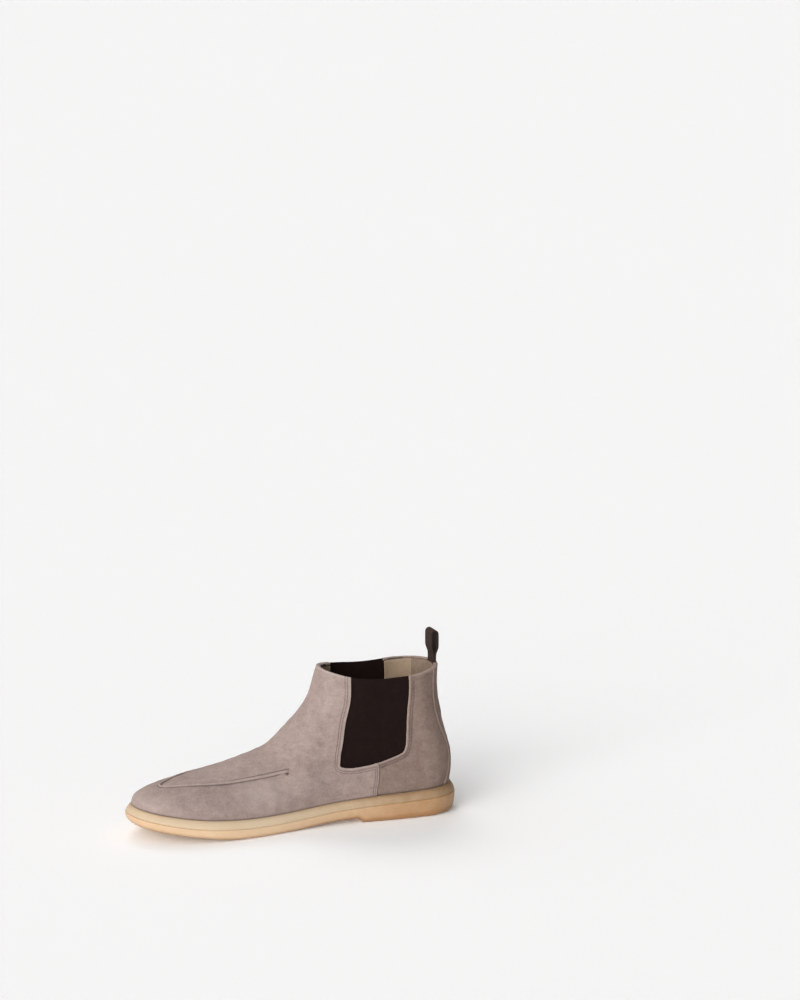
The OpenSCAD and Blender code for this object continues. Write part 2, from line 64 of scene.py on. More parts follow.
# ======== the last
# The same last as in the CAD source. Every table runs (place, value).
TABLES = {
    "half": [(-150, 41), (-126, 43.5), (-105, 46.5), (-78, 50.5), (-54, 51.2), (-30, 48.8), (0, 43.5),
        (30, 39), (60, 37.3), (90, 37), (120, 35.5), (150, 34)],
    "middle": [(-150, 7), (-120, 3.5), (-90, 0), (-60, -3), (-30, -5.2), (0, -6.3), (30, -5.5), (60, -3),
        (90, -1.2), (150, 0)],
    "feather": [(-150, 29.9), (-143.5, 28.3), (-126, 24.9), (-97, 20.4), (-76, 18.2), (-45, 16.5),
        (-7, 16.8), (39, 20.2), (70, 22.2), (106, 23.4), (131, 24.2), (150, 24.8)],
    "heel": [(20, 144.6), (25, 145.2), (34, 146.5), (41, 147), (48, 146.8), (56, 145.6), (64, 143.4),
        (74, 140.5), (88, 137), (100, 134.8), (115, 133.6), (134, 134.2)],
    "topline": [(27, 134), (48, 129.5), (73, 127), (100, 128), (134, 131)],
    "tread": [(-150, 15.5), (-139, 12.3), (-123, 9.2), (-107, 6.6), (-89, 3.7), (-71, 1.1), (-55, 0),
        (-8, 0), (12, 1.4), (32, 3.2), (50, 4)],
    "roof_radius": [(-150, 22), (-110, 30), (-70, 40), (-30, 44), (0, 42), (30, 38), (60, 38)],
    "roof_power": [(-150, 2.5), (-100, 2.35), (-60, 2.1), (-20, 1.9), (10, 1.95), (40, 2), (60, 2)],
    "heel_radius": [(20, 30), (50, 31), (90, 31), (134, 36)],
    "shaft_half": [(15, 31.5), (60, 32), (90, 33.5), (134, 35)],
    "shaft_middle": [(-150, 6), (-60, 1.5), (0, 0.5), (60, 0)],
    # Seams as (height, angle in degrees), and two lines as (angle, height)
    "gore_front": [(0, 104), (0.2, 96.8), (0.41, 87.7), (0.62, 74.5), (0.83, 58.6), (1, 49)],
    "seam": [(0, 118.5), (0.15, 115), (0.32, 110), (1, 82)],
    "gore_rear": [(0, 131), (0.2, 127), (0.39, 123), (0.46, 122.8), (0.72, 116.8), (1, 109)],
    "stay": [(0, 158), (0.15, 161), (0.26, 163), (0.36, 161), (0.48, 157), (0.65, 150), (1, 144)],
    "gore_bottom": [(87.7, 0.392), (95, 0.334), (103, 0.316), (111, 0.32), (117, 0.346), (123, 0.374)],
    "apron": [(0, 0.143), (3, 0.149), (7, 0.173), (14, 0.218), (25, 0.262), (35, 0.296), (48, 0.362),
        (62, 0.432)],
}
FRONT = [(-143.5, 28.3), (-141.5, 31.4), (-139, 35), (-133.5, 38.6), (-123, 41.7), (-104, 45.3),
         (-83, 49.8), (-60, 55.4), (-39, 62.2), (-16, 72.5), (9, 96.7), (20.5, 112.5), (27, 134)]
HEEL_BREAST = (52, 58)
TOE_RADIUS, TOE_POWER = 58, 2.15
SIDE_BULGE, BULGE_HEIGHT = 0.035, 26
LAST_LENGTH, LAST_WIDTH, LAST_TOP = 288.6, 93.3, 134
HEEL_MM_PER_RADIAN, SEAM_MM_PER_RADIAN = 60, 128

LEDGE = 5.2
BAND_HEIGHT = 7.2
HEEL_STEP = 4
SUEDE_MM, UNDER, LINING_OUT = 1.5, 1.6, 4.0
SIDES = ((1, "medial"), (-1, "lateral"))


def sector(side, first, last_):
    """The angles from first to last_, in degrees from the toe, on one side of the boot."""
    return sorted((side * math.radians(first), side * math.radians(last_)))


def curve(table, n=600):
    """A smooth line through a table's points, as arrays of places and values."""
    t = np.array(table, float)
    x, v = t[:, 0], t[:, 1]
    m = np.gradient(v, x)
    m[1:-1] = (v[2:] - v[:-2]) / (x[2:] - x[:-2])
    at = np.linspace(x[0], x[-1], n)
    i = np.clip(np.searchsorted(x, at, side="right") - 1, 0, len(x) - 2)
    d = x[i + 1] - x[i]
    s = (at - x[i]) / d
    value = ((2 * s**3 - 3 * s**2 + 1) * v[i] + (s**3 - 2 * s**2 + s) * d * m[i]
             + (3 * s**2 - 2 * s**3) * v[i + 1] + (s**3 - s**2) * d * m[i + 1])
    return at, value


def read(line, x):
    return np.interp(x, line[0], line[1])


def ease(t):
    t = np.clip(t, 0, 1)
    return t * t * (3 - 2 * t)


def cap(s, power=2.0):
    return np.maximum(0, 1 - (1 - np.clip(s, 0, 1)) ** power) ** (1 / power)


def least(*values):
    return functools.reduce(np.minimum, values)


def bump_at(x, centre, width):
    """A smooth hill of height 1."""
    return np.exp(-((x - centre) / width) ** 2)


LINES = {name: curve(table) for name, table in TABLES.items()}
front = np.array(FRONT, float)
front_run = np.r_[0, np.cumsum(np.hypot(*np.diff(front, axis=0).T))]
front_run /= front_run[-1]
LINES["front_y"] = curve(np.c_[front_run, front[:, 0]])
LINES["front_z"] = curve(np.c_[front_run, front[:, 1]])
RIDGE_RISE, RIDGE_RUN = 2.9, 60
LINES["ridge"] = (np.r_[LINES["front_y"][1], front[-1, 0] + RIDGE_RUN],
                  np.r_[LINES["front_z"][1], front[-1, 1] + RIDGE_RISE * RIDGE_RUN])
HEEL_FOOT, HEEL_TOP = 25, 131


def line(name, x):
    return read(LINES[name], x)


def bell(reach):
    kernel = np.exp(-(np.arange(-3 * reach, 3 * reach + 1) / reach) ** 2 / 2)
    return kernel / kernel.sum()


def blur(values, reach):
    """A list smoothed over reach steps, with its end values carried on."""
    return np.convolve(np.pad(values, 3 * reach, "edge"), bell(reach), "valid")


# How much faster than a plain arch the roof falls along the boot, smoothed behind the toes so no crease shows
roof_y = np.arange(front[0, 0], front[-1, 0] + RIDGE_RUN, 0.5)
roof_grade = (line("ridge", roof_y + 0.75) - line("ridge", roof_y - 0.75)) / 1.5
roof_rise = (line("ridge", roof_y) - line("feather", roof_y)) / np.sqrt(1 + roof_grade**2)
roof_fall = np.maximum(1, roof_rise / line("roof_radius", roof_y))
smoothed = ease((roof_y + 60) / 40)
LINES["roof_fall"] = (roof_y, roof_fall * (1 - smoothed) + blur(roof_fall, 11) * smoothed)


def side_point(t, u):
    """Point of the side view: t is 0 on the front profile and 1 on the heel."""
    def at_height(h):
        z = HEEL_FOOT + (HEEL_TOP - HEEL_FOOT) * h
        return ((1 - t) * line("front_y", h) + t * line("heel", z), (1 - t) * line("front_z", h) + t * z)
    y, z = at_height(u)
    foot_y, foot_z = at_height(0.0)
    top_y, top_z = at_height(1.0)
    z = z + (1 - u) * (line("feather", foot_y) - foot_z) + u * (line("topline", top_y) - top_z)
    return y, z


def half_width(y, z):
    foot = line("feather", y)
    rise = np.maximum(line("ridge", y) - foot, 0.001)
    s = (1 - np.clip((z - foot) / rise, 0, 1)) * line("roof_fall", y)
    k = ease((z - foot) / 60)
    width = (line("half", y) - LEDGE) * (1 - k) + line("shaft_half", z) * k
    width = width * (1 + SIDE_BULGE * np.sin(math.pi * np.clip((z - foot) / BULGE_HEIGHT, 0, 1)))
    return (width * cap((y - front[0, 0]) / TOE_RADIUS, TOE_POWER) * cap(s, line("roof_power", y))
            * cap((line("heel", z) - y) / line("heel_radius", z)))


def middle(y, z):
    k = ease((z - line("feather", y)) / 70)
    return line("middle", y) * (1 - k) + line("shaft_middle", y) * k


# Where the last stands in the frame: the sole's own box says how far it is moved and stretched
sole_low, sole_high = (np.array(corner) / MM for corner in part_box("outsole"))
STRETCH = np.array([(sole_high[0] - sole_low[0] - 2 * LEDGE) / LAST_WIDTH,
                    (sole_high[1] - sole_low[1] - 2 * LEDGE) / LAST_LENGTH,
                    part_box("vamp")[1].z / MM / LAST_TOP])
SHIFT = np.zeros(3)


def skin(angle, u):
    """Outer surface of the upper."""
    angle, u = np.broadcast_arrays(np.asarray(angle, float), np.asarray(u, float))
    y, z = side_point((1 - np.cos(angle)) / 2, u)
    x = middle(y, z) + np.sign(np.sin(angle)) * half_width(y, z)
    return np.stack([x, y, z], -1) * STRETCH - SHIFT


def unit(v):
    return v / np.maximum(np.linalg.norm(v, axis=-1, keepdims=True), 1e-9)


def across(angle, u, step=math.radians(1.5)):
    return skin(angle + step, u) - skin(angle - step, u)


def outward(angle, u, step=0.008):
    up = skin(angle, np.minimum(1, u + step)) - skin(angle, np.maximum(0, u - step))
    return unit(np.cross(across(angle, u), up))


def outline(angle, d):
    """The upper's outline at the feather line, moved out by d."""
    angle = np.asarray(angle, float)
    t = across(angle, 0 * angle)
    out = unit(np.stack([t[..., 1], -t[..., 0], 0 * t[..., 0]], -1))
    p = skin(angle, 0 * angle)
    p[..., 2] = 0
    return p + np.asarray(d)[..., None] * out


ring_angles = np.linspace(-math.pi, math.pi, 721)[:-1]
ring = outline(ring_angles, LEDGE)
SHIFT[:2] = (ring.max(0) + ring.min(0))[:2] / 2 - (sole_high + sole_low)[:2] / 2


def waves(p, length, seed, count=18):
    """Soft random relief, about -1 to 1, with hills about length apart."""
    rng = np.random.default_rng(SEED * 1000 + seed)
    total = np.zeros(p.shape[:-1])
    for _ in range(count):
        direction = unit(rng.normal(size=3)) * 2 * math.pi / (length * rng.uniform(0.7, 1.5))
        total += np.sin(p @ direction + rng.uniform(0, 2 * math.pi))
    return total / math.sqrt(count)


# ======== meshes
def to_mesh(name, verts, faces, material, replaces, body="boot", marks=None):
    """A piece from points in millimetres; marks are numbers per point that its material reads."""
    mesh = bpy.data.meshes.new(name)
    mesh.from_pydata((np.asarray(verts) * MM).tolist(), [], [tuple(int(i) for i in f) for f in faces])
    mesh.polygons.foreach_set("use_smooth", [True] * len(mesh.polygons))
    for mark, values in (marks or {}).items():
        mesh.attributes.new(mark, "FLOAT", "POINT").data.foreach_set("value", np.asarray(values, float))
    mesh.materials.append(material)
    mesh.validate()
    piece = bpy.data.objects.new(name, mesh)
    bpy.context.scene.collection.objects.link(piece)
    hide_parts(*replaces)
    if body:
        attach(piece, body)
    return piece


def grid_faces(rows, columns, closed=False):
    """Quads of a grid of points, row by row; closed joins the last column to the first."""
    r = np.arange(rows - 1)[:, None] * columns
    c = np.arange(columns if closed else columns - 1)[None, :]
    d = (c + 1) % columns
    return np.stack([r + c, r + d, r + columns + d, r + columns + c], -1).reshape(-1, 4)


def thicken(points, out, faces, marks, roll, steps=5):
    """A closed solid from an open surface: its face, a rolled border and an inner face. out is the way off
    each point, longer than 1 where two layers meet. The mark thick says how far in the inner face lies."""
    used = np.unique([v for f in faces for v in f])
    place = np.full(len(points), -1)
    place[used] = np.arange(len(used))
    points, out = points[used], out[used]
    faces = [tuple(place[list(f)]) for f in faces]
    marks = {k: v[used] for k, v in marks.items()}
    edges = {(a, b) for f in faces for a, b in zip(f, f[1:] + f[:1])}
    border = np.array(sorted(e for e in edges if (e[1], e[0]) not in edges))
    side = np.cross(unit(points[border[:, 1]] - points[border[:, 0]]), unit(out[border[:, 0]]))
    off = np.zeros_like(points)
    np.add.at(off, border[:, 0], side)
    np.add.at(off, border[:, 1], side)
    off = unit(off)
    rim = np.unique(border)
    index = {v: i for i, v in enumerate(rim)}
    n, m = len(points), len(rim)
    inward = -out * marks["thick"][:, None]
    verts = [points, points + inward]
    for k in range(1, steps):
        a = math.pi * k / steps
        verts.append(points[rim] + off[rim] * roll * math.sin(a) + inward[rim] * (1 - math.cos(a)) / 2)
    faces += [tuple(n + i for i in reversed(f)) for f in faces]

    def at(v, k):
        return v if k == 0 else n + v if k == steps else 2 * n + (k - 1) * m + index[v]
    for a, b in border:
        faces += [(at(b, k), at(a, k), at(a, k + 1), at(b, k + 1)) for k in range(steps)]
    marks = {k: np.concatenate([v, v] + [v[rim]] * (steps - 1)) for k, v in marks.items()}
    return np.concatenate(verts), faces, marks


def cut(angles, heights, inside):
    """A grid over the upper, cut to where inside(angle, height) is over 0. Its border runs smoothly."""
    a, u = np.meshgrid(angles, heights, indexing="ij")
    value = inside(a, u)
    best = np.full(a.shape, 2.0)
    move = np.zeros(a.shape + (2,))
    spot = np.stack([a, u], -1)
    for axis in (0, 1):
        for step in (-1, 1):
            near_value, near_spot = np.roll(value, -step, axis), np.roll(spot, -step, axis)
            real = np.ones(a.shape, bool)
            real[tuple(slice(None) if k != axis else (-1 if step == 1 else 0) for k in (0, 1))] = False
            with np.errstate(divide="ignore", invalid="ignore"):
                t = value / (value - near_value)
            better = real & (value * near_value < 0) & (t <= 0.5) & (t < best)
            best[better] = t[better]
            move[better] = ((near_spot - spot) * t[..., None])[better]
    spot = (spot + move).reshape(-1, 2)
    kind = np.where(best < 1, 0, np.sign(value)).astype(int).ravel()
    quads = grid_faces(*a.shape)[:, ::-1]
    kinds = kind[quads]
    keep = (kinds.min(1) >= 0) & (kinds.max(1) > 0)
    faces = [tuple(q) for q in quads[keep].tolist()]
    for q, k in zip(quads[~keep].tolist(), kinds[~keep]):
        good = tuple(v for v, w in zip(q, k) if w >= 0)
        if len(good) == 3 and k.max() > 0:
            faces.append(good)
        elif len(good) >= 3 and k.max() == 0:
            centre = spot[list(good)].mean(0)
            if inside(*(np.array([c]) for c in centre))[0] > 0:
                faces.append(good)
    return spot[:, 0], spot[:, 1], faces


def segments_distance(p, path):
    """Distance from points to an open path, the share of the way along it, and the nearest segment."""
    start, end = path[:-1], path[1:]
    best = np.full(p.shape[:-1], 1e9)
    along = np.zeros(p.shape[:-1])
    for i, (s, e) in enumerate(zip(start, end)):
        d = e - s
        t = np.clip(((p - s) @ d) / (d @ d), 0, 1)
        gap = np.linalg.norm(p - s - t[..., None] * d, axis=-1)
        closer = gap < best
        best[closer] = gap[closer]
        along[closer] = (i + t[closer]) / len(start)
    return best, along


def run_along(path):
    """Length along a path, at each of its points."""
    return np.r_[0, np.cumsum(np.linalg.norm(np.diff(path, axis=0), axis=1))]


def resample(path, step):
    run = run_along(path)
    n = max(2, int(round(run[-1] / step)) + 1)
    at = np.linspace(0, run[-1], n)
    return np.stack([np.interp(at, run, path[:, k]) for k in range(path.shape[1])], -1)


def soften(path, reach):
    """Rounds the corners of a path whose points are 1 mm apart; the ends stay."""
    before, after = 2 * path[0] - path[3 * reach:0:-1], 2 * path[-1] - path[-2:-3 * reach - 2:-1]
    padded = np.concatenate([before, path, after])
    return np.stack([np.convolve(padded[:, k], bell(reach), "valid") for k in range(2)], -1)


# The gore's window in the side view: down its front edge, along the bottom and up the rear edge
def window_path():
    down = np.linspace(1, 0.392, 40)
    along = np.radians(np.linspace(87.7, 123, 24))
    up = np.linspace(0.374, 1, 40)
    parts = [skin(np.radians(line("gore_front", down)), down),
             skin(along, line("gore_bottom", np.degrees(along))),
             skin(np.radians(line("gore_rear", up)), up)]
    path = np.concatenate(parts)[:, 1:]
    ends = [path[0] + (path[0] - path[6]) * 1.2, path[-1] + (path[-1] - path[-7]) * 1.2]
    return soften(resample(np.concatenate([[ends[0]], path, [ends[1]]]), 1.0), 3)


window = window_path()


def window_distance(y, z):
    """Distance from the gore's edge in the side view: positive on the suede, negative over the elastic."""
    gap, _ = segments_distance(np.stack([y, z], -1), window)
    crossings = np.zeros(y.shape, int)
    closed = np.concatenate([window, window[:1]])
    for (y0, z0), (y1, z1) in zip(closed[:-1], closed[1:]):
        if z0 != z1:
            crossings += ((z0 > z) != (z1 > z)) & (y < (y1 - y0) * (z - z0) / (z1 - z0) + y0)
    return np.where(crossings % 2 == 1, -gap, gap)


def on_window(angle, u):
    p = skin(angle, np.maximum(u, 0))
    return window_distance(p[..., 1], p[..., 2])


def before_seam(angle, u):
    """Distance in front of the side seam."""
    at = np.maximum(u, 0)
    return skin(np.radians(line("seam", at)), at)[..., 1] - skin(angle, at)[..., 1]


def from_toe(angle):
    return np.abs((angle + math.pi) % (2 * math.pi) - math.pi)


def before_stay(angle, u):
    """Distance round the back from the edge of the heel strap: positive on the quarter."""
    return (np.radians(line("stay", np.maximum(u, 0))) - from_toe(angle)) * HEEL_MM_PER_RADIAN


def frame_to_last(y, z):
    return (y + SHIFT[1]) / STRETCH[1], z / STRETCH[2]


def foot_height(y):
    """Height of the feather line at a place along the boot."""
    return line("feather", frame_to_last(y, 0)[0]) * STRETCH[2]


def side_skin(y, z, side):
    """Point and way out on one side of the upper, from a place in the side view."""
    def point(py, pz):
        ly, lz = frame_to_last(py, pz)
        x = (middle(ly, lz) + side * half_width(ly, lz)) * STRETCH[0] - SHIFT[0]
        return np.stack([x, py, pz], -1)
    dy, dz = point(y + 0.5, z) - point(y - 0.5, z), point(y, z + 0.5) - point(y, z - 0.5)
    return point(y, z), unit(np.cross(dy, dz) * side)


def offset_path(path, d):
    """A path in the side view moved to its left by d."""
    way = unit(np.gradient(path, axis=0))
    return path + d * np.stack([-way[:, 1], way[:, 0]], -1)


TUCK = 12


def upper(angle, u):
    """Point, way out and layer direction. Below 0 the upper turns in under the foot, at -1 by TUCK."""
    at = np.maximum(u, 0)
    p, n = skin(angle, at), outward(angle, at)
    low = u < 0
    flat = outline(angle, TUCK * np.minimum(u, 0))
    flat[..., 2] = foot_height(flat[..., 1])
    p = np.where(low[..., None], flat, p)
    out = unit(outline(angle, 1 + 0 * u) - outline(angle, 0 * u))
    near = ease(1 + u / 0.2)[..., None]
    n = np.where(low[..., None], out * near, n)
    turn = np.where(low, 1, np.clip(1 - u / 0.1, 0, 1))[..., None]
    layer = n + turn * np.array([0, 0, -1.0])
    shown = unit(np.where(low[..., None], out * near + np.array([0, 0, -0.6]), n))
    return p, shown, layer


# ======== materials
class Paint:
    """A procedural material. Each method adds one node and gives what comes out of it."""

    def __init__(self, name, **values):
        self.material = bpy.data.materials.new(name)
        self.material.use_nodes = True
        self.nodes, self.links = self.material.node_tree.nodes, self.material.node_tree.links
        self.shader = self.nodes["Principled BSDF"]
        for socket, value in values.items():
            self.shader.inputs[socket.replace("_", " ")].default_value = value
        self.place = self.nodes.new("ShaderNodeTexCoord").outputs["Object"]

    def put(self, socket, value):
        if isinstance(value, bpy.types.NodeSocket):
            self.links.new(value, socket)
        else:
            socket.default_value = value

    def noise(self, size, detail=3.0, rough=0.55, stretch=(1, 1, 1), warp=0.0):
        """Noise whose features are about size millimetres."""
        node, mapping = self.nodes.new("ShaderNodeTexNoise"), self.nodes.new("ShaderNodeMapping")
        self.put(mapping.inputs["Vector"], self.place)
        mapping.inputs["Scale"].default_value = stretch
        self.put(node.inputs["Vector"], mapping.outputs[0])
        for socket, value in {"Scale": 1 / (size * MM), "Detail": detail, "Roughness": rough,
                              "Distortion": warp}.items():
            node.inputs[socket].default_value = value
        return node.outputs[0]

    def cells(self, size, feature="F1"):
        node = self.nodes.new("ShaderNodeTexVoronoi")
        node.feature = feature
        self.put(node.inputs["Vector"], self.place)
        node.inputs["Scale"].default_value = 1 / (size * MM)
        return node.outputs["Distance"]

    def mark(self, name):
        node = self.nodes.new("ShaderNodeAttribute")
        node.attribute_name = name
        return node.outputs["Fac"]

    def math(self, operation, a, b=0.0, c=0.0):
        node = self.nodes.new("ShaderNodeMath")
        node.operation = operation
        for socket, value in zip(node.inputs, (a, b, c)):
            self.put(socket, value)
        return node.outputs[0]

    def times(self, a, b):
        return self.math("MULTIPLY", a, b)

    def most(self, *values):
        return functools.reduce(lambda a, b: self.math("MAXIMUM", a, b), values)

    def spread(self, value, low=0.3, high=0.7, to_low=0.0, to_high=1.0):
        node = self.nodes.new("ShaderNodeMapRange")
        for socket, v in zip(node.inputs, (value, low, high, to_low, to_high)):
            self.put(socket, v)
        return node.outputs[0]

    def sum(self, *parts):
        """Weighted sum of (value, weight) pairs."""
        total = 0.0
        for value, weight in parts:
            total = self.math("MULTIPLY_ADD", value, weight, total)
        return total

    def mix(self, factor, a, b):
        node = self.nodes.new("ShaderNodeMix")
        node.data_type = "RGBA"
        for socket, value in zip((node.inputs[0], node.inputs[6], node.inputs[7]), (factor, a, b)):
            self.put(socket, value)
        return node.outputs[2]

    def stripe(self, value, at, half):
        """1 where value is close to at, and 0 from half a width away."""
        away = self.math("ABSOLUTE", self.math("SUBTRACT", value, at))
        return self.spread(away, half * 0.3, half, 1, 0)

    def bump(self, height, depth, strength=1.0, under=None):
        node = self.nodes.new("ShaderNodeBump")
        node.inputs["Strength"].default_value = strength
        node.inputs["Distance"].default_value = depth * MM
        self.put(node.inputs["Height"], height)
        if under is not None:
            self.put(node.inputs["Normal"], under)
        return node.outputs[0]

    def finish(self, colour, roughness=None, normal=None):
        self.put(self.shader.inputs["Base Color"], colour)
        if roughness is not None:
            self.put(self.shader.inputs["Roughness"], roughness)
        if normal is not None:
            self.put(self.shader.inputs["Normal"], normal)
        return self.material


def rgb(red, green, blue):
    """A colour from screen values of 0 to 255."""
    def linear(v):
        v = v / 255
        return v / 12.92 if v <= 0.04045 else ((v + 0.055) / 1.055) ** 2.4
    return tuple(linear(v) for v in (red, green, blue)) + (1.0,)


SEWN_ROWS, SEAM_SHIFT = (2.3, 4.1), 0.9


def suede(name, dark, light, edge):
    """Brushed suede. Its marks are millimetres from a folded edge, the ridge, the topline and the sole."""
    paint = Paint(name, Specular_IOR_Level=0.06, Sheen_Weight=0.22, Sheen_Roughness=0.5, Sheen_Tint=light)
    patches = paint.noise(34, 2, 0.5, warp=0.3)
    brushed = paint.noise(6, 4, 0.66, stretch=(1, 0.7, 1), warp=0.5)
    nap = paint.noise(1.5, 4, 0.75, stretch=(1, 0.8, 1))
    fibre = paint.noise(0.45, 2, 0.8)
    tone = paint.sum((paint.spread(patches), 0.16), (paint.spread(brushed, 0.32, 0.68), 0.34),
                     (paint.spread(nap, 0.32, 0.68), 0.38), (fibre, 0.1))
    colour = paint.mix(paint.spread(tone, 0.2, 0.8), dark, light)
    # Folded edges and the topline are drawn paler: a painted highlight on the rolled edges, partly their
    # lighter nap. The wear mark adds rubbed spots and painted highlights.
    ragged = paint.spread(nap, 0.3, 0.7, -0.2, 0.2)
    folded = paint.math("ADD", ragged, paint.math("MINIMUM", paint.mark("edge"), paint.mark("top")))
    pale = paint.most(paint.spread(folded, 0.3, 0.8, 0.32, 0.0), paint.mark("worn"))
    colour = paint.mix(pale, colour, edge)
    # Painted shade: darker along the stitch rows, in the lines at the foot of the ridge, in the last 2 mm
    # above the sole where the upper meets it, and wherever the mark shade is set.
    rows = [paint.stripe(paint.mark("edge"), at, 0.45) for at in SEWN_ROWS]
    creases = paint.stripe(paint.math("ADD", ragged, paint.mark("ridge")), 1.75, 0.7)
    foot = paint.spread(paint.mark("foot"), 0.2, 1.8, 1.0, 0.0)
    sewn = paint.most(*rows)
    deep = paint.most(paint.times(sewn, 0.7), paint.times(creases, 0.85), paint.times(foot, 0.75),
                      paint.mark("shade"))
    colour = paint.mix(paint.times(deep, 0.72), colour, tuple(v * 0.4 for v in dark[:3]) + (1.0,))
    relief = paint.bump(paint.sum((brushed, 0.5), (nap, 0.5)), 0.3, 0.5)
    pressed = paint.bump(paint.math("SUBTRACT", 1.0, paint.most(sewn, creases)), 0.3, 0.7, relief)
    return paint.finish(colour, paint.spread(nap, 0.3, 0.7, 0.86, 1.0), paint.bump(fibre, 0.1, 0.5, pressed))


def woven(name, dark, light, pitch, cross, depth, roughness=0.8):
    """Ribbed cloth: the ribs are pitch apart along the mark rib, the cross threads along the mark warp."""
    paint = Paint(name, Specular_IOR_Level=0.12, Sheen_Weight=0.06, Sheen_Roughness=0.4, Sheen_Tint=light)
    ribs = paint.math("SINE", paint.times(paint.mark("rib"), 2 * math.pi / pitch))
    threads = paint.math("SINE", paint.times(paint.mark("warp"), 2 * math.pi / cross))
    fuzz = paint.noise(0.5, 2, 0.7)
    wide = paint.noise(12, 2, 0.5)
    height = paint.sum((ribs, 0.5), (threads, 0.22), (fuzz, 0.5))
    tone = paint.sum((ribs, 0.2), (threads, 0.1), (fuzz, 0.5), (wide, 0.35))
    return paint.finish(paint.mix(paint.spread(tone, 0.0, 0.9), dark, light),
                        paint.spread(fuzz, 0.2, 0.8, roughness - 0.1, roughness + 0.1),
                        paint.bump(height, depth, 0.8))


def rubber(name, dark, light, shade_colour, roughness):
    paint = Paint(name, Specular_IOR_Level=0.35)
    cloud = paint.noise(34, 3, 0.5)
    speck = paint.noise(1.4, 3, 0.65)
    pores = paint.noise(0.5, 2, 0.6)
    tone = paint.sum((paint.spread(cloud), 0.65), (paint.spread(speck), 0.35))
    colour = paint.mix(tone, dark, light)
    uneven = paint.spread(paint.noise(9, 4, 0.7), 0.35, 0.65, 0.8, 1)
    # Painted shade: the mark shade blends the rubber towards the darker third colour, blotched a little by
    # noise.
    colour = paint.mix(paint.times(paint.mark("shade"), uneven), colour, shade_colour)
    return paint.finish(colour, paint.spread(speck, 0.3, 0.7, roughness - 0.08, roughness + 0.1),
                        paint.bump(pores, 0.05, 0.5, paint.bump(speck, 0.08, 0.35)))


def leather(name, dark, light, grain, roughness):
    paint = Paint(name, Specular_IOR_Level=0.3, Coat_Weight=0.02)
    cloud, fine = paint.noise(22, 3, 0.6), paint.noise(2.4, 3, 0.65)
    folds = paint.cells(grain, "DISTANCE_TO_EDGE")
    tone = paint.sum((paint.spread(cloud), 0.6), (paint.spread(fine), 0.4))
    colour = paint.mix(paint.spread(folds, 0.0, 0.12, 0.35, 0.0), paint.mix(tone, dark, light),
                       tuple(v * 0.6 for v in dark[:3]) + (1.0,))
    return paint.finish(colour, paint.spread(fine, 0.3, 0.7, roughness - 0.08, roughness + 0.1),
                        paint.bump(paint.spread(folds, 0.0, 0.3), 0.07, 0.6, paint.bump(fine, 0.1, 0.4)))


def plain(name, dark, light, size, depth, roughness, **values):
    """A mottled material for the hidden pieces: fibres, foam, cork, board or steel."""
    paint = Paint(name, **values)
    coarse, fine = paint.noise(size * 6, 3, 0.6), paint.noise(size, 3, 0.7)
    grain = paint.cells(size * 2)
    tone = paint.sum((coarse, 0.4), (fine, 0.35), (grain, 0.3))
    return paint.finish(paint.mix(paint.spread(tone, 0.25, 0.75), dark, light),
                        paint.spread(fine, 0.3, 0.7, roughness - 0.08, roughness + 0.08),
                        paint.bump(paint.sum((fine, 0.6), (grain, 0.4)), depth, 0.6))


SUEDE = suede("suede", rgb(140, 122, 116), rgb(168, 151, 144), rgb(196, 181, 173))
# A darker copy of the suede for the quarters and the backstay: painted shade on the back of the boot, partly
# a slightly darker suede on those panels.
SUEDE_REAR_SHADED = suede("suede_rear_shaded", rgb(123, 104, 95), rgb(148, 129, 119), rgb(184, 166, 156))
HEEL_GRIP = suede("heel_grip_suede", rgb(122, 104, 90), rgb(150, 130, 114), rgb(160, 142, 126))
ELASTIC = woven("elastic", rgb(14, 6, 5), rgb(38, 23, 20), 0.9, 0.5, 0.12, 0.85)
WEBBING = woven("webbing", rgb(40, 27, 24), rgb(74, 56, 50), 1.1, 0.45, 0.25, 0.7)
TAPE = plain("tape", rgb(70, 58, 52), rgb(96, 82, 74), 0.5, 0.08, 0.85)
THREAD = plain("thread", rgb(112, 95, 88), rgb(136, 118, 110), 0.25, 0.06, 0.7, Sheen_Weight=0.1)
# The third colour of each rubber is the painted shade colour that its mark shade blends towards.
OUTSOLE = rubber("outsole_rubber", rgb(214, 182, 147), rgb(224, 194, 160), rgb(170, 128, 86), 0.5)
MIDSOLE = rubber("midsole_rubber", rgb(206, 182, 152), rgb(216, 195, 166), rgb(152, 120, 86), 0.55)
LINING = leather("lining_leather", rgb(150, 128, 106), rgb(172, 150, 126), 1.6, 0.55)
STIFFENER = plain("stiffener", rgb(206, 200, 182), rgb(228, 222, 206), 0.9, 0.1, 0.85)
BOARD = plain("insole_board", rgb(168, 142, 108), rgb(196, 170, 132), 0.7, 0.06, 0.85)
FOAM = plain("foam", rgb(214, 208, 190), rgb(236, 231, 214), 0.6, 0.12, 0.95)
CORK = plain("cork_filler", rgb(104, 74, 48), rgb(170, 128, 86), 1.6, 0.3, 0.9)
STEEL = plain("shank_steel", rgb(150, 150, 152), rgb(178, 178, 180), 0.6, 0.02, 0.35, Metallic=1.0)
CAD_PAINT = {"toe_puff": STIFFENER, "heel_counter": STIFFENER, "insole_board": BOARD,
             "bottom_filler": CORK, "shank": STEEL, "front_collar_tape": TAPE,
             "collar_tape_medial": TAPE, "collar_tape_lateral": TAPE}
for node, material in CAD_PAINT.items():
    for holder in frame["nodes"][node].material_slots:
        holder.material = material


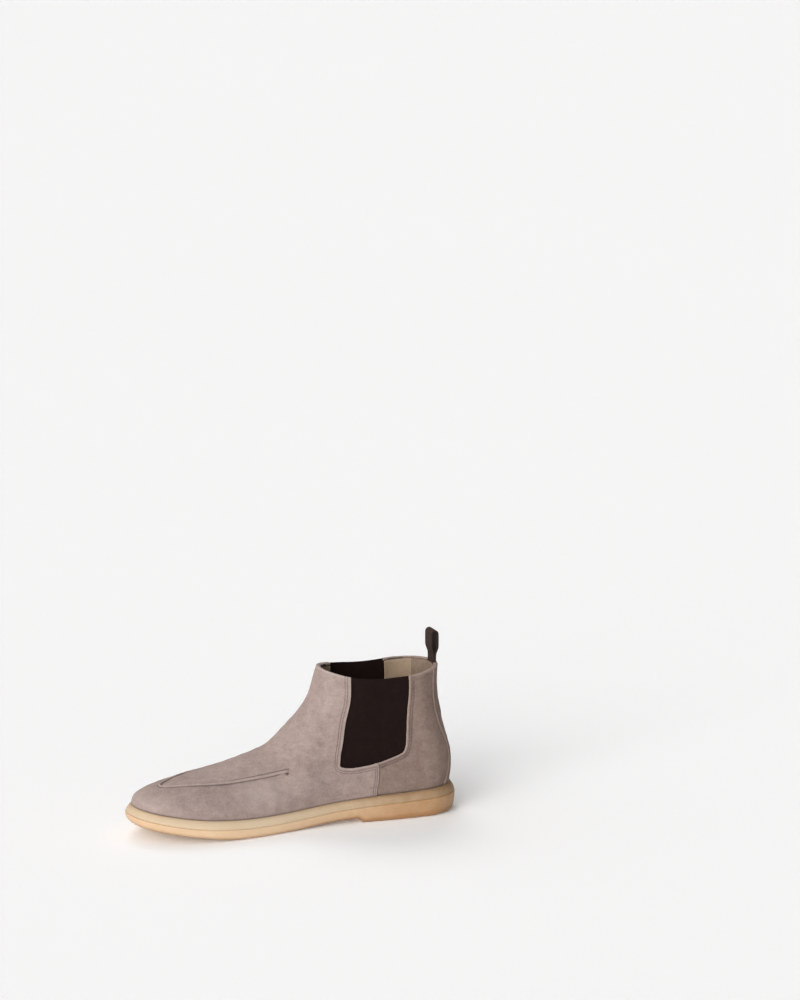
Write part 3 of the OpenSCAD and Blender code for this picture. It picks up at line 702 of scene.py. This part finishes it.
# ======== the upper
STEP = math.radians(0.62)
HEIGHTS = np.concatenate([np.linspace(-1, -0.3, 5), [-0.2, -0.12, -0.06, -0.02], np.linspace(0, 0.02, 6)[:-1],
                          np.linspace(0.02, 0.975, 138), [0.982, 0.987, 0.991, 0.9945, 0.9975, 1.0]])
hinge = np.array(frame["joints"][0]["pos_m"]) / MM
APRON_END = math.radians(60)
apron_angles = np.linspace(-APRON_END, APRON_END, 241)
apron_heights = line("apron", np.degrees(np.abs(apron_angles)))
apron_path = skin(apron_angles, apron_heights)
apron_ends = np.array([apron_path[0], apron_path[-1]])


FAR, SHAFT_RUN = 50.0, 106.0
RIDGE_LENGTH, PUCKER = 330, 4.2


def relief(p, u):
    """Soft hills of the whole upper, in millimetres, shared by all its panels, with gentle creases where the
    foot bends the boot: across the instep, and round the ankle by the heel."""
    hills = 0.24 * waves(p, 30, 1) + 0.13 * waves(p, 12, 2) + 0.05 * waves(p, 5, 3)
    instep = np.exp(-((p[..., 1] + 12) / 24) ** 2) * ease((u - 0.35) / 0.3)
    along = (p[..., 1] * 0.72 + p[..., 2] * 0.5 + 1.8 * waves(p, 34, 5)) / 11
    ankle = np.exp(-((p[..., 1] - 112) / 22) ** 2) * np.exp(-((p[..., 2] - 78) / 26) ** 2)
    level = (p[..., 2] - 0.25 * p[..., 1] + 1.5 * waves(p, 30, 6)) / 13
    creases = 0.16 * instep * np.sin(2 * math.pi * along) + 0.3 * ankle * np.sin(2 * math.pi * level)
    return hills + creases


def near_apron(p, angle, u):
    """The ridge pulls the vamp in beside it and puckers the skin; the apron swells a little inside it."""
    gap, along = segments_distance(p, apron_path[::4])
    above = np.where(u > line("apron", np.degrees(from_toe(angle))), 1.0, 0.0)
    fade = ease((APRON_END + 0.05 - from_toe(angle)) / 0.08)
    pucker = 1 + 0.3 * np.sin(along * RIDGE_LENGTH / PUCKER * 2 * math.pi) * bump_at(gap, 3, 2)
    valley = -0.35 * bump_at(gap, 2.0, 1.3) * pucker
    swell = (0.6 * above + 0.2 * (1 - above)) * bump_at(gap, 9, 5)
    return (valley + swell) * fade, gap + FAR * (1 - fade)


def fold_over(p, u):
    """Thickness at the topline, where the suede folds over the tape; it leaves the pull tab's slot free."""
    slot = ease((np.abs(p[..., 0] - hinge[0]) - 8.6) / 1.2)
    slot = np.where(p[..., 1] > 110, slot, 1)
    return SUEDE_MM + (LINING_OUT - 0.1 - SUEDE_MM) * ease((u - 0.982) / 0.009) * slot


def panel(name, first, last_, inside, shape, material, slot, nodes, roll=0.5, heights=HEIGHTS, soft=1.0):
    """A sheet of the upper. shape(angle, u, point) gives the depth under the skin, the thickness and marks.
    soft is how much of the upper's own hills and folds it takes."""
    angles = np.arange(first, last_ + STEP, STEP)
    a, u, faces = cut(angles, heights, inside)
    p, shown, layer = upper(a, u)
    depth, thick, marks = shape(a, u, p)
    height = soft * relief(p, u)
    low = u < 0.02
    height = np.where(low, height * np.clip(u / 0.02, 0, 1), height)
    marks = dict(marks, thick=np.broadcast_to(thick, a.shape).astype(float))
    p = p + shown * height[:, None] - layer * np.broadcast_to(depth, a.shape)[:, None]
    verts, faces, marks = thicken(p, layer, faces, marks, roll)
    marks.pop("thick")
    return to_mesh(name, verts, faces, material, nodes, marks=marks)


def suede_marks(u, p, edge=FAR, ridge=FAR, worn=0.0, shade=0.0):
    """Every number the suede's material reads, for each point."""
    marks = {"edge": edge, "ridge": ridge, "top": (1 - u) * SHAFT_RUN,
             "foot": p[..., 2] - foot_height(p[..., 1]), "worn": worn, "shade": shade}
    return {name: np.broadcast_to(value, u.shape).astype(float) for name, value in marks.items()}


def vamp_shape(a, u, p):
    edge = np.minimum(on_window(a, u), np.where(u < 0.36, before_seam(a, u) + SEAM_SHIFT, FAR))
    height, ridge = near_apron(p, a, u)
    end = p - apron_ends[(a > 0).astype(int)]
    past = np.abs(end[:, 1] + 1.6) + 1.5 * np.abs(end[:, 2] + 2.2)
    notch = ease((2.6 - past) / 0.9)
    lift = 0.09 * bump_at(edge, 0.8, 0.9) - 0.1 * bump_at(edge, 3.2, 1.4) + height - 0.6 * notch
    # Paler spots: a rubbed spot at the toe tip just above the sole, and a painted highlight low on the vamp's
    # side near the ball.
    worn = (0.2 * bump_at(from_toe(a), 0, 0.5) * bump_at(u, 0.03, 0.04)
            + 0.3 * bump_at(p[:, 1], -34, 28) * bump_at(p[:, 2], 36, 12))
    return -lift, fold_over(p, u), suede_marks(u, p, edge, ridge, worn, 1.3 * notch)


VAMP_ANGLES = (-math.radians(121), math.radians(121))
BACK_ANGLES = (math.radians(140), math.radians(220))
panel("vamp", *VAMP_ANGLES, lambda a, u: least(before_seam(a, u), on_window(a, u)),
      vamp_shape, SUEDE, "suede", ["vamp"])

LAP, GORE_LAP = 4.0, 4.5
SEAM_TOP = 0.37


def quarter_shape(a, u, p):
    edge, d_seam, d_stay = on_window(a, u), -before_seam(a, u), before_stay(a, u)
    at_seam = np.where(u < SEAM_TOP, d_seam, FAR)
    under = np.maximum(1 - ease((at_seam + 0.3) / 1.6), 1 - ease((d_stay + 0.3) / 1.6))
    shade = 0.8 * bump_at(np.minimum(at_seam, d_stay), -0.1, 0.8)
    depth = 0.45 + (UNDER - 0.4) * under - 0.09 * bump_at(edge, 0.8, 0.9) + 0.1 * bump_at(edge, 3.2, 1.4)
    thick = np.where(under > 0.5, 1.0, fold_over(p, u) - 0.35)
    return depth, thick, suede_marks(u, p, edge, shade=shade)


for side, name in SIDES:
    panel(f"quarter_{name}", *sector(side, 100, 170),
          lambda a, u: least(np.where(u < SEAM_TOP, LAP, 0) - before_seam(a, u), on_window(a, u),
                             before_stay(a, u) + LAP),
          quarter_shape, SUEDE_REAR_SHADED, "suede", [f"quarter_{name}"])


def stay_shape(a, u, p):
    inside = -before_stay(a, u)
    lift = 0.09 * bump_at(inside, 0.8, 0.9) - 0.1 * bump_at(inside, 2.6, 1.0)
    edge = np.where(inside < 3.2, inside, FAR)
    return -lift, fold_over(p, u), suede_marks(u, p, edge)


panel("backstay", *BACK_ANGLES, lambda a, u: -before_stay(a, u),
      stay_shape, SUEDE_REAR_SHADED, "suede", ["backstay"])


# The elastic gores run under the suede all round and are drawn a little flat between its edges
def gore_shape(a, u, p):
    d = on_window(a, u)
    behind = 1 - ease((d + 1.0) / 2.5)
    deep = np.where(u < 0.45, 1.1 * ease((d + 1) / 3), 0)
    marks = {"rib": p[:, 1] + 0.16 * p[:, 2], "warp": p[:, 2]}
    return UNDER + 0.25 * behind + deep, 1.0, marks


for side, name in SIDES:
    gore = panel(f"gore_{name}", *sector(side, 45, 132), lambda a, u: GORE_LAP - on_window(a, u),
                 gore_shape, ELASTIC, "elastic", [f"gore_{name}"], roll=0.3)


# ======== the linings
def lining_shape(a, u, p):
    return LINING_OUT - 0.048 * waves(p, 9, 8), 1.0, suede_marks(0 * u, p)


LINING_HEIGHTS = np.concatenate([np.linspace(-1, 0, 6)[:-1], np.linspace(0, 0.986, 76)])
LINING_GAP = 0.5
LINING_MAKE = (0.3, LINING_HEIGHTS, 0.35)
panel("vamp_lining", *VAMP_ANGLES, lambda a, u: least(before_seam(a, u), on_window(a, u)) - LINING_GAP,
      lining_shape, LINING, "lining_leather", ["vamp_lining"], *LINING_MAKE)
for side, name in SIDES:
    panel(f"quarter_lining_{name}", *sector(side, 105, 170),
          lambda a, u: least(-before_seam(a, u), on_window(a, u), before_stay(a, u)) - LINING_GAP,
          lining_shape, LINING, "lining_leather", [f"quarter_lining_{name}"], *LINING_MAKE)
panel("heel_grip", *BACK_ANGLES, lambda a, u: -before_stay(a, u) - LINING_GAP,
      lining_shape, HEEL_GRIP, "heel_grip_suede", ["heel_grip"], *LINING_MAKE)


# ======== the apron ridge
def sweep(path, out, profile_at):
    """A closed tube along a path; profile_at(k) gives section k's [across, out] points, counter-clockwise."""
    way = unit(np.gradient(path, axis=0))
    side = unit(np.cross(way, out))
    up = np.cross(side, way)
    verts = [path[k] + q[0] * side[k] + q[1] * up[k] for k in range(len(path)) for q in profile_at(k)]
    m = len(verts) // len(path)
    faces = [tuple(f) for f in grid_faces(len(path), m, closed=True)]
    faces += [tuple(range(m))[::-1], tuple(range((len(path) - 1) * m, len(path) * m))]
    return np.array(verts), [f[::-1] for f in faces]


RIDGE_WIDTH, RIDGE_HEIGHT = 2.6, 1.25
RIDGE_ARCH = np.linspace(0, math.pi, 13)
ridge_spots = np.stack([np.interp(np.linspace(0, 1, 560), np.linspace(0, 1, len(apron_angles)), v)
                        for v in (apron_angles, apron_heights)], -1)
ridge_path = skin(ridge_spots[:, 0], ridge_spots[:, 1])
ridge_out = outward(ridge_spots[:, 0], ridge_spots[:, 1])
ridge_run = run_along(ridge_path)
ridge_noise = waves(ridge_path, 6, 11)


def ridge_profile(k):
    to_end = min(ridge_run[k], ridge_run[-1] - ridge_run[k])
    gather = 1 + 0.07 * math.sin(ridge_run[k] * 2 * math.pi / 3.1) + 0.05 * ridge_noise[k]
    point = 1 - 0.6 * math.exp(-(to_end / 1.6) ** 2)
    w, h = RIDGE_WIDTH / 2 * point * (1 + 0.06 * ridge_noise[k]), RIDGE_HEIGHT * gather * point
    arch = [(w * math.cos(t) * (1 - 0.1 * math.sin(t)),
             h * math.sin(t) ** 0.65 - 0.35 if math.sin(t) > 0 else -0.8) for t in RIDGE_ARCH]
    return arch + [(-w * 0.9, -0.9), (w * 0.9, -0.9)]


verts, faces = sweep(ridge_path, ridge_out, ridge_profile)
crest = np.tile([math.sin(t) ** 2 for t in RIDGE_ARCH] + [0, 0], len(ridge_path))
marks = {name: FAR + 0 * crest for name in ("edge", "ridge", "top", "foot")}
# The ridge is drawn paler on its crest, a painted highlight, and darker low on its sides where it meets the
# vamp, a painted shade.
marks |= {"worn": 0.22 * ease(crest * 2), "shade": 0.9 * (1 - ease(crest * 4))}
to_mesh("apron_ridge", verts, faces, SUEDE, ["apron_ridge"], marks=marks)


# ======== the stitching
STITCH, STITCH_GAP, THREAD_RADIUS = 2.3, 0.45, 0.2


def stitches(name, rows):
    """One short length of thread after another along each row of (points, ways out)."""
    rng = np.random.default_rng(SEED)
    verts, faces = [], []
    sides = 6
    for points, out in rows:
        run = run_along(points)
        starts = np.arange(0.4, run[-1] - STITCH, STITCH + STITCH_GAP)
        for start in starts:
            at = start + np.linspace(0, STITCH, 6) + rng.normal(0, 0.04)
            spine = np.stack([np.interp(at, run, points[:, k]) for k in range(3)], -1)
            up = unit(np.stack([np.interp(at, run, out[:, k]) for k in range(3)], -1))
            arch = np.sin(np.linspace(0, math.pi, 6)) ** 0.6
            spine = spine + up * (arch * 0.3 - 0.34)[:, None]
            radius = THREAD_RADIUS * (0.35 + 0.65 * arch)
            ring = [(math.cos(t), math.sin(t)) for t in np.linspace(0, 2 * math.pi, sides, endpoint=False)]
            v, f = sweep(spine, up, lambda k: [(radius[k] * c, radius[k] * s) for c, s in ring])
            base = sum(len(x) for x in verts)
            verts.append(v)
            faces += [tuple(base + i for i in face) for face in f]
    return to_mesh(name, np.concatenate(verts), faces, THREAD, [name])


def on_skin(points_angle, points_height, lift=0.0):
    """Points on the finished suede, from angles and heights."""
    a, u = (np.asarray(v, float) for v in (points_angle, points_height))
    p, n = skin(a, u), outward(a, u)
    return p + n * (relief(p, u) + lift)[:, None], n


def window_row(side, gap):
    path = offset_path(resample(window, 0.5), -gap)
    y, z = frame_to_last(path[:, 0], path[:, 1])
    path = path[z < line("topline", y) - 4.5]
    p, n = side_skin(path[:, 0], path[:, 1], side)
    u = (p[:, 2] - 20) / 110
    return p + n * (relief(p, u) - 0.05)[:, None], n


for side, name in SIDES:
    stitches(f"gore_stitching_{name}", [window_row(side, gap) for gap in SEWN_ROWS])
seam_u = np.linspace(0.02, 0.3, 60)
seam_turn = np.radians(line("seam", seam_u))
stitches("side_seam_stitching", [
    on_skin(side * (seam_turn - (row - SEAM_SHIFT) / SEAM_MM_PER_RADIAN), seam_u, -0.05)
    for side in (1, -1) for row in SEWN_ROWS])
stay_u = np.linspace(0.03, 0.96, 160)
stitches("backstay_stitching", [
    on_skin(side * (np.radians(line("stay", stay_u)) + SEWN_ROWS[0] / HEEL_MM_PER_RADIAN), stay_u, -0.1)
    for side in (1, -1)])
stitches("collar_stitching", [
    on_skin(np.radians(np.linspace(-47, 47, 200)), np.full(200, 0.965), -0.12),
    on_skin(np.radians(np.linspace(114, 246, 300)), np.full(300, 0.965), -0.12)])
thread_drop = 0.012 + 0.02 * np.abs(apron_angles) / APRON_END
stitches("apron_stitching", [on_skin(apron_angles, apron_heights - thread_drop, -0.5)])


# ======== the sole
RING_STEPS = 720
ring_angles = np.linspace(0, 2 * math.pi, RING_STEPS + 1)[:-1]


def tread(y):
    """Height of the ground side, with a soft step at the heel breast."""
    y = frame_to_last(y, 0)[0]
    fore = line("tread", y) * np.where(y > 0, HEEL_STEP / 4, 1)
    rear = HEEL_STEP * (1 - ease((y - HEEL_BREAST[0]) / (HEEL_BREAST[1] - HEEL_BREAST[0])))
    return np.where(y < HEEL_BREAST[0], fore, rear)


def feather_at(y):
    return line("feather", frame_to_last(y, 0)[0])


def sole_loft(name, levels, height, material, bottom=None, top=None, across=48, marks=None, setback=0):
    """A solid through rings: levels are (distance out, level), closed by a lid below and above."""
    rings = []
    back = setback * ease(1 - from_toe(ring_angles) / math.radians(80))
    for out, level in levels:
        p = outline(ring_angles, out - back)
        p[:, 2] = height(p[:, 1], level)
        rings.append(p)
    verts = list(np.concatenate(rings))
    faces = [tuple(f) for f in grid_faces(len(rings), RING_STEPS, closed=True)]
    half = RING_STEPS // 2
    for ring_index, change, flip in ((0, bottom, True), (len(rings) - 1, top, False)):
        ring_points = rings[ring_index]
        table = np.zeros((half + 1, across + 1), int)
        for k in range(half + 1):
            left, right = k, (-k) % RING_STEPS
            table[k, 0], table[k, across] = ring_index * RING_STEPS + left, ring_index * RING_STEPS + right
            if left == right:
                table[k, :] = table[k, 0]
                continue
            share = np.linspace(0, 1, across + 1)[1:-1, None]
            row = ring_points[left] * (1 - share) + ring_points[right] * share
            if change is not None:
                row[:, 2] += change(row, np.minimum(share[:, 0], 1 - share[:, 0])
                                    * np.linalg.norm(ring_points[left] - ring_points[right]))
            table[k, 1:across] = np.arange(len(verts), len(verts) + across - 1)
            verts += list(row)
        for k in range(half):
            for c in range(across):
                face = [table[k, c], table[k + 1, c], table[k + 1, c + 1], table[k, c + 1]]
                face = list(dict.fromkeys(face))
                if len(face) > 2:
                    faces.append(tuple(face if not flip else face[::-1]))
    verts = np.array(verts)
    total = {}
    if marks:
        level_of = np.concatenate([np.full(RING_STEPS, float(level)) for _, level in levels])
        side, lids = verts[:len(level_of)], np.zeros(len(verts) - len(level_of))
        total = {k: np.concatenate([v(level_of, side), lids]) for k, v in marks.items()}
    return to_mesh(name, verts, faces, material, [name], marks=total)


def fine_levels(table, count):
    """A smooth profile through (distance out, level) points."""
    t = np.array(table, float)
    run = np.r_[0, np.cumsum(np.hypot(np.diff(t[:, 0]), np.diff(t[:, 1]) * 12))]
    at = np.linspace(0, run[-1], count)
    lines = [curve(np.c_[run, t[:, k]]) for k in (0, 1)]
    return list(zip(read(lines[0], at), read(lines[1], at)))


def band(y, share):
    return (tread(y) * (1 - share) + (feather_at(y) - BAND_HEIGHT) * share) * STRETCH[2]


def above(y, h):
    return (feather_at(y) + h) * STRETCH[2]


def sipes(row, edge):
    """Shallow wavy grooves across the forefoot and the heel."""
    y = row[:, 1] + 2.2 * np.sin(row[:, 0] / 9)
    where = ease((edge - 7) / 3) * np.maximum(ease((-8 - row[:, 1]) / 6) * ease((row[:, 1] + 128) / 6),
                                              ease((row[:, 1] - 66) / 5))
    return 1.0 * where * ease((np.cos(2 * math.pi * y / 6.5) - 0.55) / 0.25)


def heel_and_toe_shade(y):
    """Painted shade: the rubber is drawn browner and darker round the heel and at the toe than under the ball
    of the foot.
    """
    return 0.9 * ease((y + 50) / 170) + 0.3 * ease((-y - 90) / 50)


OUTSOLE_LEVELS = [(LEDGE - 7.5, 0), (LEDGE - 5.2, 0.012), (LEDGE - 3.2, 0.06), (LEDGE - 1.3, 0.25),
                  (LEDGE - 0.35, 0.52), (LEDGE, 0.78), (LEDGE - 0.1, 0.92), (LEDGE - 0.65, 1.0)]
# Painted shade on the outsole: round the heel and toe, in the groove under the midsole and along the lower
# edge where the sole turns under.
sole_loft("outsole", fine_levels(OUTSOLE_LEVELS, 26), band, OUTSOLE, sipes, across=96,
          marks={"shade": lambda level, p: heel_and_toe_shade(p[:, 1]) + 0.15 * bump_at(level, 1, 0.04)
                                                      + 0.7 * (1 - ease(level / 0.45))})
MIDSOLE_LEVELS = [(LEDGE - 1.9, -7.3), (LEDGE - 0.95, -7.2), (LEDGE - 0.7, -6.5), (LEDGE - 1.4, -4.5),
                  (LEDGE - 2.5, -2.8), (LEDGE - 3.6, -1.2), (LEDGE - 4.2, -0.35), (LEDGE - 4.7, -0.1)]
# Painted shade on the midsole: round the heel and toe, at its lower edge by the groove and along its top
# under the upper.
sole_loft("midsole", fine_levels(MIDSOLE_LEVELS, 22), above, MIDSOLE,
          marks={"shade": lambda level, p: heel_and_toe_shade(p[:, 1]) + 0.1 * bump_at(level, -7.1, 0.3)
                                           + 0.4 * bump_at(level, -0.1, 1.6)})
FOAM_LEVELS = [(-8.2, 7.25), (-7.9, 7.5), (-8.0, 8.3), (-8.6, 8.9), (-9.2, 9.05)]
foam = sole_loft("footbed_foam", fine_levels(FOAM_LEVELS, 10), above, FOAM, setback=9)
SOCK_LEVELS = [(-8.4, 9.15), (-7.0, 9.35), (-6.2, 10.5), (-6.4, 11.3), (-7.4, 11.2), (-9.4, 10.4),
               (-12, 10.2)]


def sock_top(row, edge):
    return 0.15 * waves(row, 22, 14) * ease(edge / 10)


sole_loft("sock_liner", fine_levels(SOCK_LEVELS, 18), above, LINING, top=sock_top,
          setback=10)


# ======== the pull tab
# One length of webbing: up between backstay and heel grip, round the loop and down again beside itself
WEB, WEB_WIDTH, TAIL = 1.1, 16.0, 22.0
TAB_TOP, GAP_HALF, NECK, PLY = 26.4, 3.0, 6.0, 0.58
STRAP_STEP = 0.8


def tail_line(depth, heights):
    p, n = skin(np.full(len(heights), math.pi), heights), outward(np.full(len(heights), math.pi), heights)
    return (p - n * depth)[:, 1:]


rise = np.linspace(0, 1, 40)
outer = [(PLY + (GAP_HALF - PLY) * ease((z - NECK + 2) / 9), z) for z in rise[1:] * (TAB_TOP - GAP_HALF)]
arc = [(GAP_HALF * math.cos(t), TAB_TOP - GAP_HALF + GAP_HALF * math.sin(t))
       for t in np.linspace(0, math.pi, 14)[1:-1]]
loop = np.array(outer + arc + [(-y, z) for y, z in outer[::-1]]) + hinge[1:]
low = 1 - TAIL / SHAFT_RUN
below = np.linspace(low, 1, 26)
path = np.concatenate([tail_line(2.2, below), loop, tail_line(3.35, below)[::-1]])
path = resample(path, STRAP_STEP)
kernel = np.ones(3) / 3
path[1:-1] = np.stack([np.convolve(path[:, k], kernel, "valid") for k in (0, 1)], -1)
strap = np.c_[np.full(len(path), hinge[0]), path]
strap_way = unit(np.gradient(strap, axis=0))
strap_out = np.cross(strap_way, [1.0, 0, 0])
edge_turn = np.linspace(-math.pi / 2, math.pi / 2, 6)
half_flat = WEB_WIDTH / 2 - WEB / 2
section = ([(half_flat + WEB / 2 * math.cos(t), WEB / 2 * math.sin(t)) for t in edge_turn]
           + [(x, WEB / 2) for x in np.linspace(half_flat, -half_flat, 14)[1:-1]]
           + [(-half_flat - WEB / 2 * math.cos(t), WEB / 2 * math.sin(-t)) for t in edge_turn]
           + [(x, -WEB / 2) for x in np.linspace(-half_flat, half_flat, 14)[1:-1]])
verts, faces = sweep(strap, strap_out, lambda k: section)
strap_run = np.repeat(np.arange(len(strap)) * STRAP_STEP, len(section))
tab = to_mesh("pull_tab_webbing", verts, faces, WEBBING, ["pull_tab", "pull_tab_tail"],
              body=None, marks={"rib": strap_run, "warp": verts[:, 0]})
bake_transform(tab)


# ======== floor, light and camera
floor_paint = Paint("floor", Roughness=0.9, Specular_IOR_Level=0.0, Emission_Color=(1, 1, 1, 1),
                    Emission_Strength=0.07)
floor_tone = floor_paint.noise(900, 2, 0.5)
floor_paint.finish(floor_paint.mix(floor_tone, (0.955, 0.95, 0.945, 1), (0.965, 0.96, 0.955, 1)))
bpy.ops.mesh.primitive_plane_add(size=60)
floor = bpy.context.object
floor.name = "floor"
floor.data.materials.append(floor_paint.material)

# A pale wall far off, which only the camera sees
wall_paint = Paint("backdrop", Base_Color=(0, 0, 0, 1), Specular_IOR_Level=0.0, Emission_Strength=1.0)
wall_tone = wall_paint.noise(9000, 2, 0.5)
wall_paint.put(wall_paint.shader.inputs["Emission Color"],
               wall_paint.mix(wall_tone, (0.915, 0.915, 0.91, 1), (0.93, 0.93, 0.925, 1)))
bpy.ops.mesh.primitive_cylinder_add(radius=28, depth=60, vertices=96, end_fill_type="NOTHING")
wall = bpy.context.object
wall.name = "backdrop"
wall.data.materials.append(wall_paint.material)
wall.visible_shadow = wall.visible_diffuse = wall.visible_glossy = False

world = bpy.data.worlds.new("studio")
bpy.context.scene.world = world
world.use_nodes = True
# The room is bright on the toe's side and dim behind the heel
room, room_links = world.node_tree.nodes, world.node_tree.links
way, split, fall = (room.new(f"ShaderNode{kind}") for kind in ("TexCoord", "SeparateXYZ", "MapRange"))
for socket, value in zip(fall.inputs[1:5], (-1.0, 1.0, 0.68, 0.03)):
    socket.default_value = value
room_links.new(way.outputs["Generated"], split.inputs[0])
room_links.new(split.outputs["Y"], fall.inputs[0])
room_links.new(fall.outputs[0], room["Background"].inputs["Strength"])
room["Background"].inputs["Color"].default_value = (1, 1, 1, 1)


def sun(name, toward, strength, spread):
    """A distant lamp: toward is the way to it, spread its width in degrees."""
    data = bpy.data.lights.new(name, "SUN")
    data.energy, data.angle = strength, math.radians(spread)
    lamp = bpy.data.objects.new(name, data)
    bpy.context.scene.collection.objects.link(lamp)
    lamp.rotation_euler = (-Vector(toward)).to_track_quat("-Z", "Y").to_euler()


sun("side_light", (0.72, -0.7, 0.32), 2.2, 42)
sun("top_light", (0.4, -0.75, 1.1), 0.55, 36)
sun("back_light", (-0.7, 0.05, 0.9), 0.7, 30)

AZIMUTH, ELEVATION, DISTANCE = math.radians(71), math.radians(15.9), 4.6
# At the boot's distance, in metres: the view's height, and its middle's place right of and above the boot
VIEW_HEIGHT, VIEW_RIGHT, VIEW_UP = 0.8696, 0.0954, 0.2773
SENSOR = 36.0
level = math.cos(ELEVATION)
back = Vector((math.sin(AZIMUTH) * level, -math.cos(AZIMUTH) * level, math.sin(ELEVATION)))
right = Vector((math.cos(AZIMUTH), math.sin(AZIMUTH), 0))
up = back.cross(right)
target = Vector((0.00274, 0.00145, 0))
aim = right * VIEW_RIGHT + up * VIEW_UP - back * DISTANCE
camera_data = bpy.data.cameras.new("camera")
camera_data.sensor_fit, camera_data.sensor_height = "VERTICAL", SENSOR
camera_data.lens = DISTANCE * SENSOR / VIEW_HEIGHT
camera_data.clip_end = 200
camera = bpy.data.objects.new("camera", camera_data)
bpy.context.scene.collection.objects.link(camera)
camera.location = target + back * DISTANCE
camera.rotation_euler = aim.to_track_quat("-Z", "Y").to_euler()
bpy.context.scene.camera = camera
bpy.context.scene.view_settings.view_transform = "Standard"
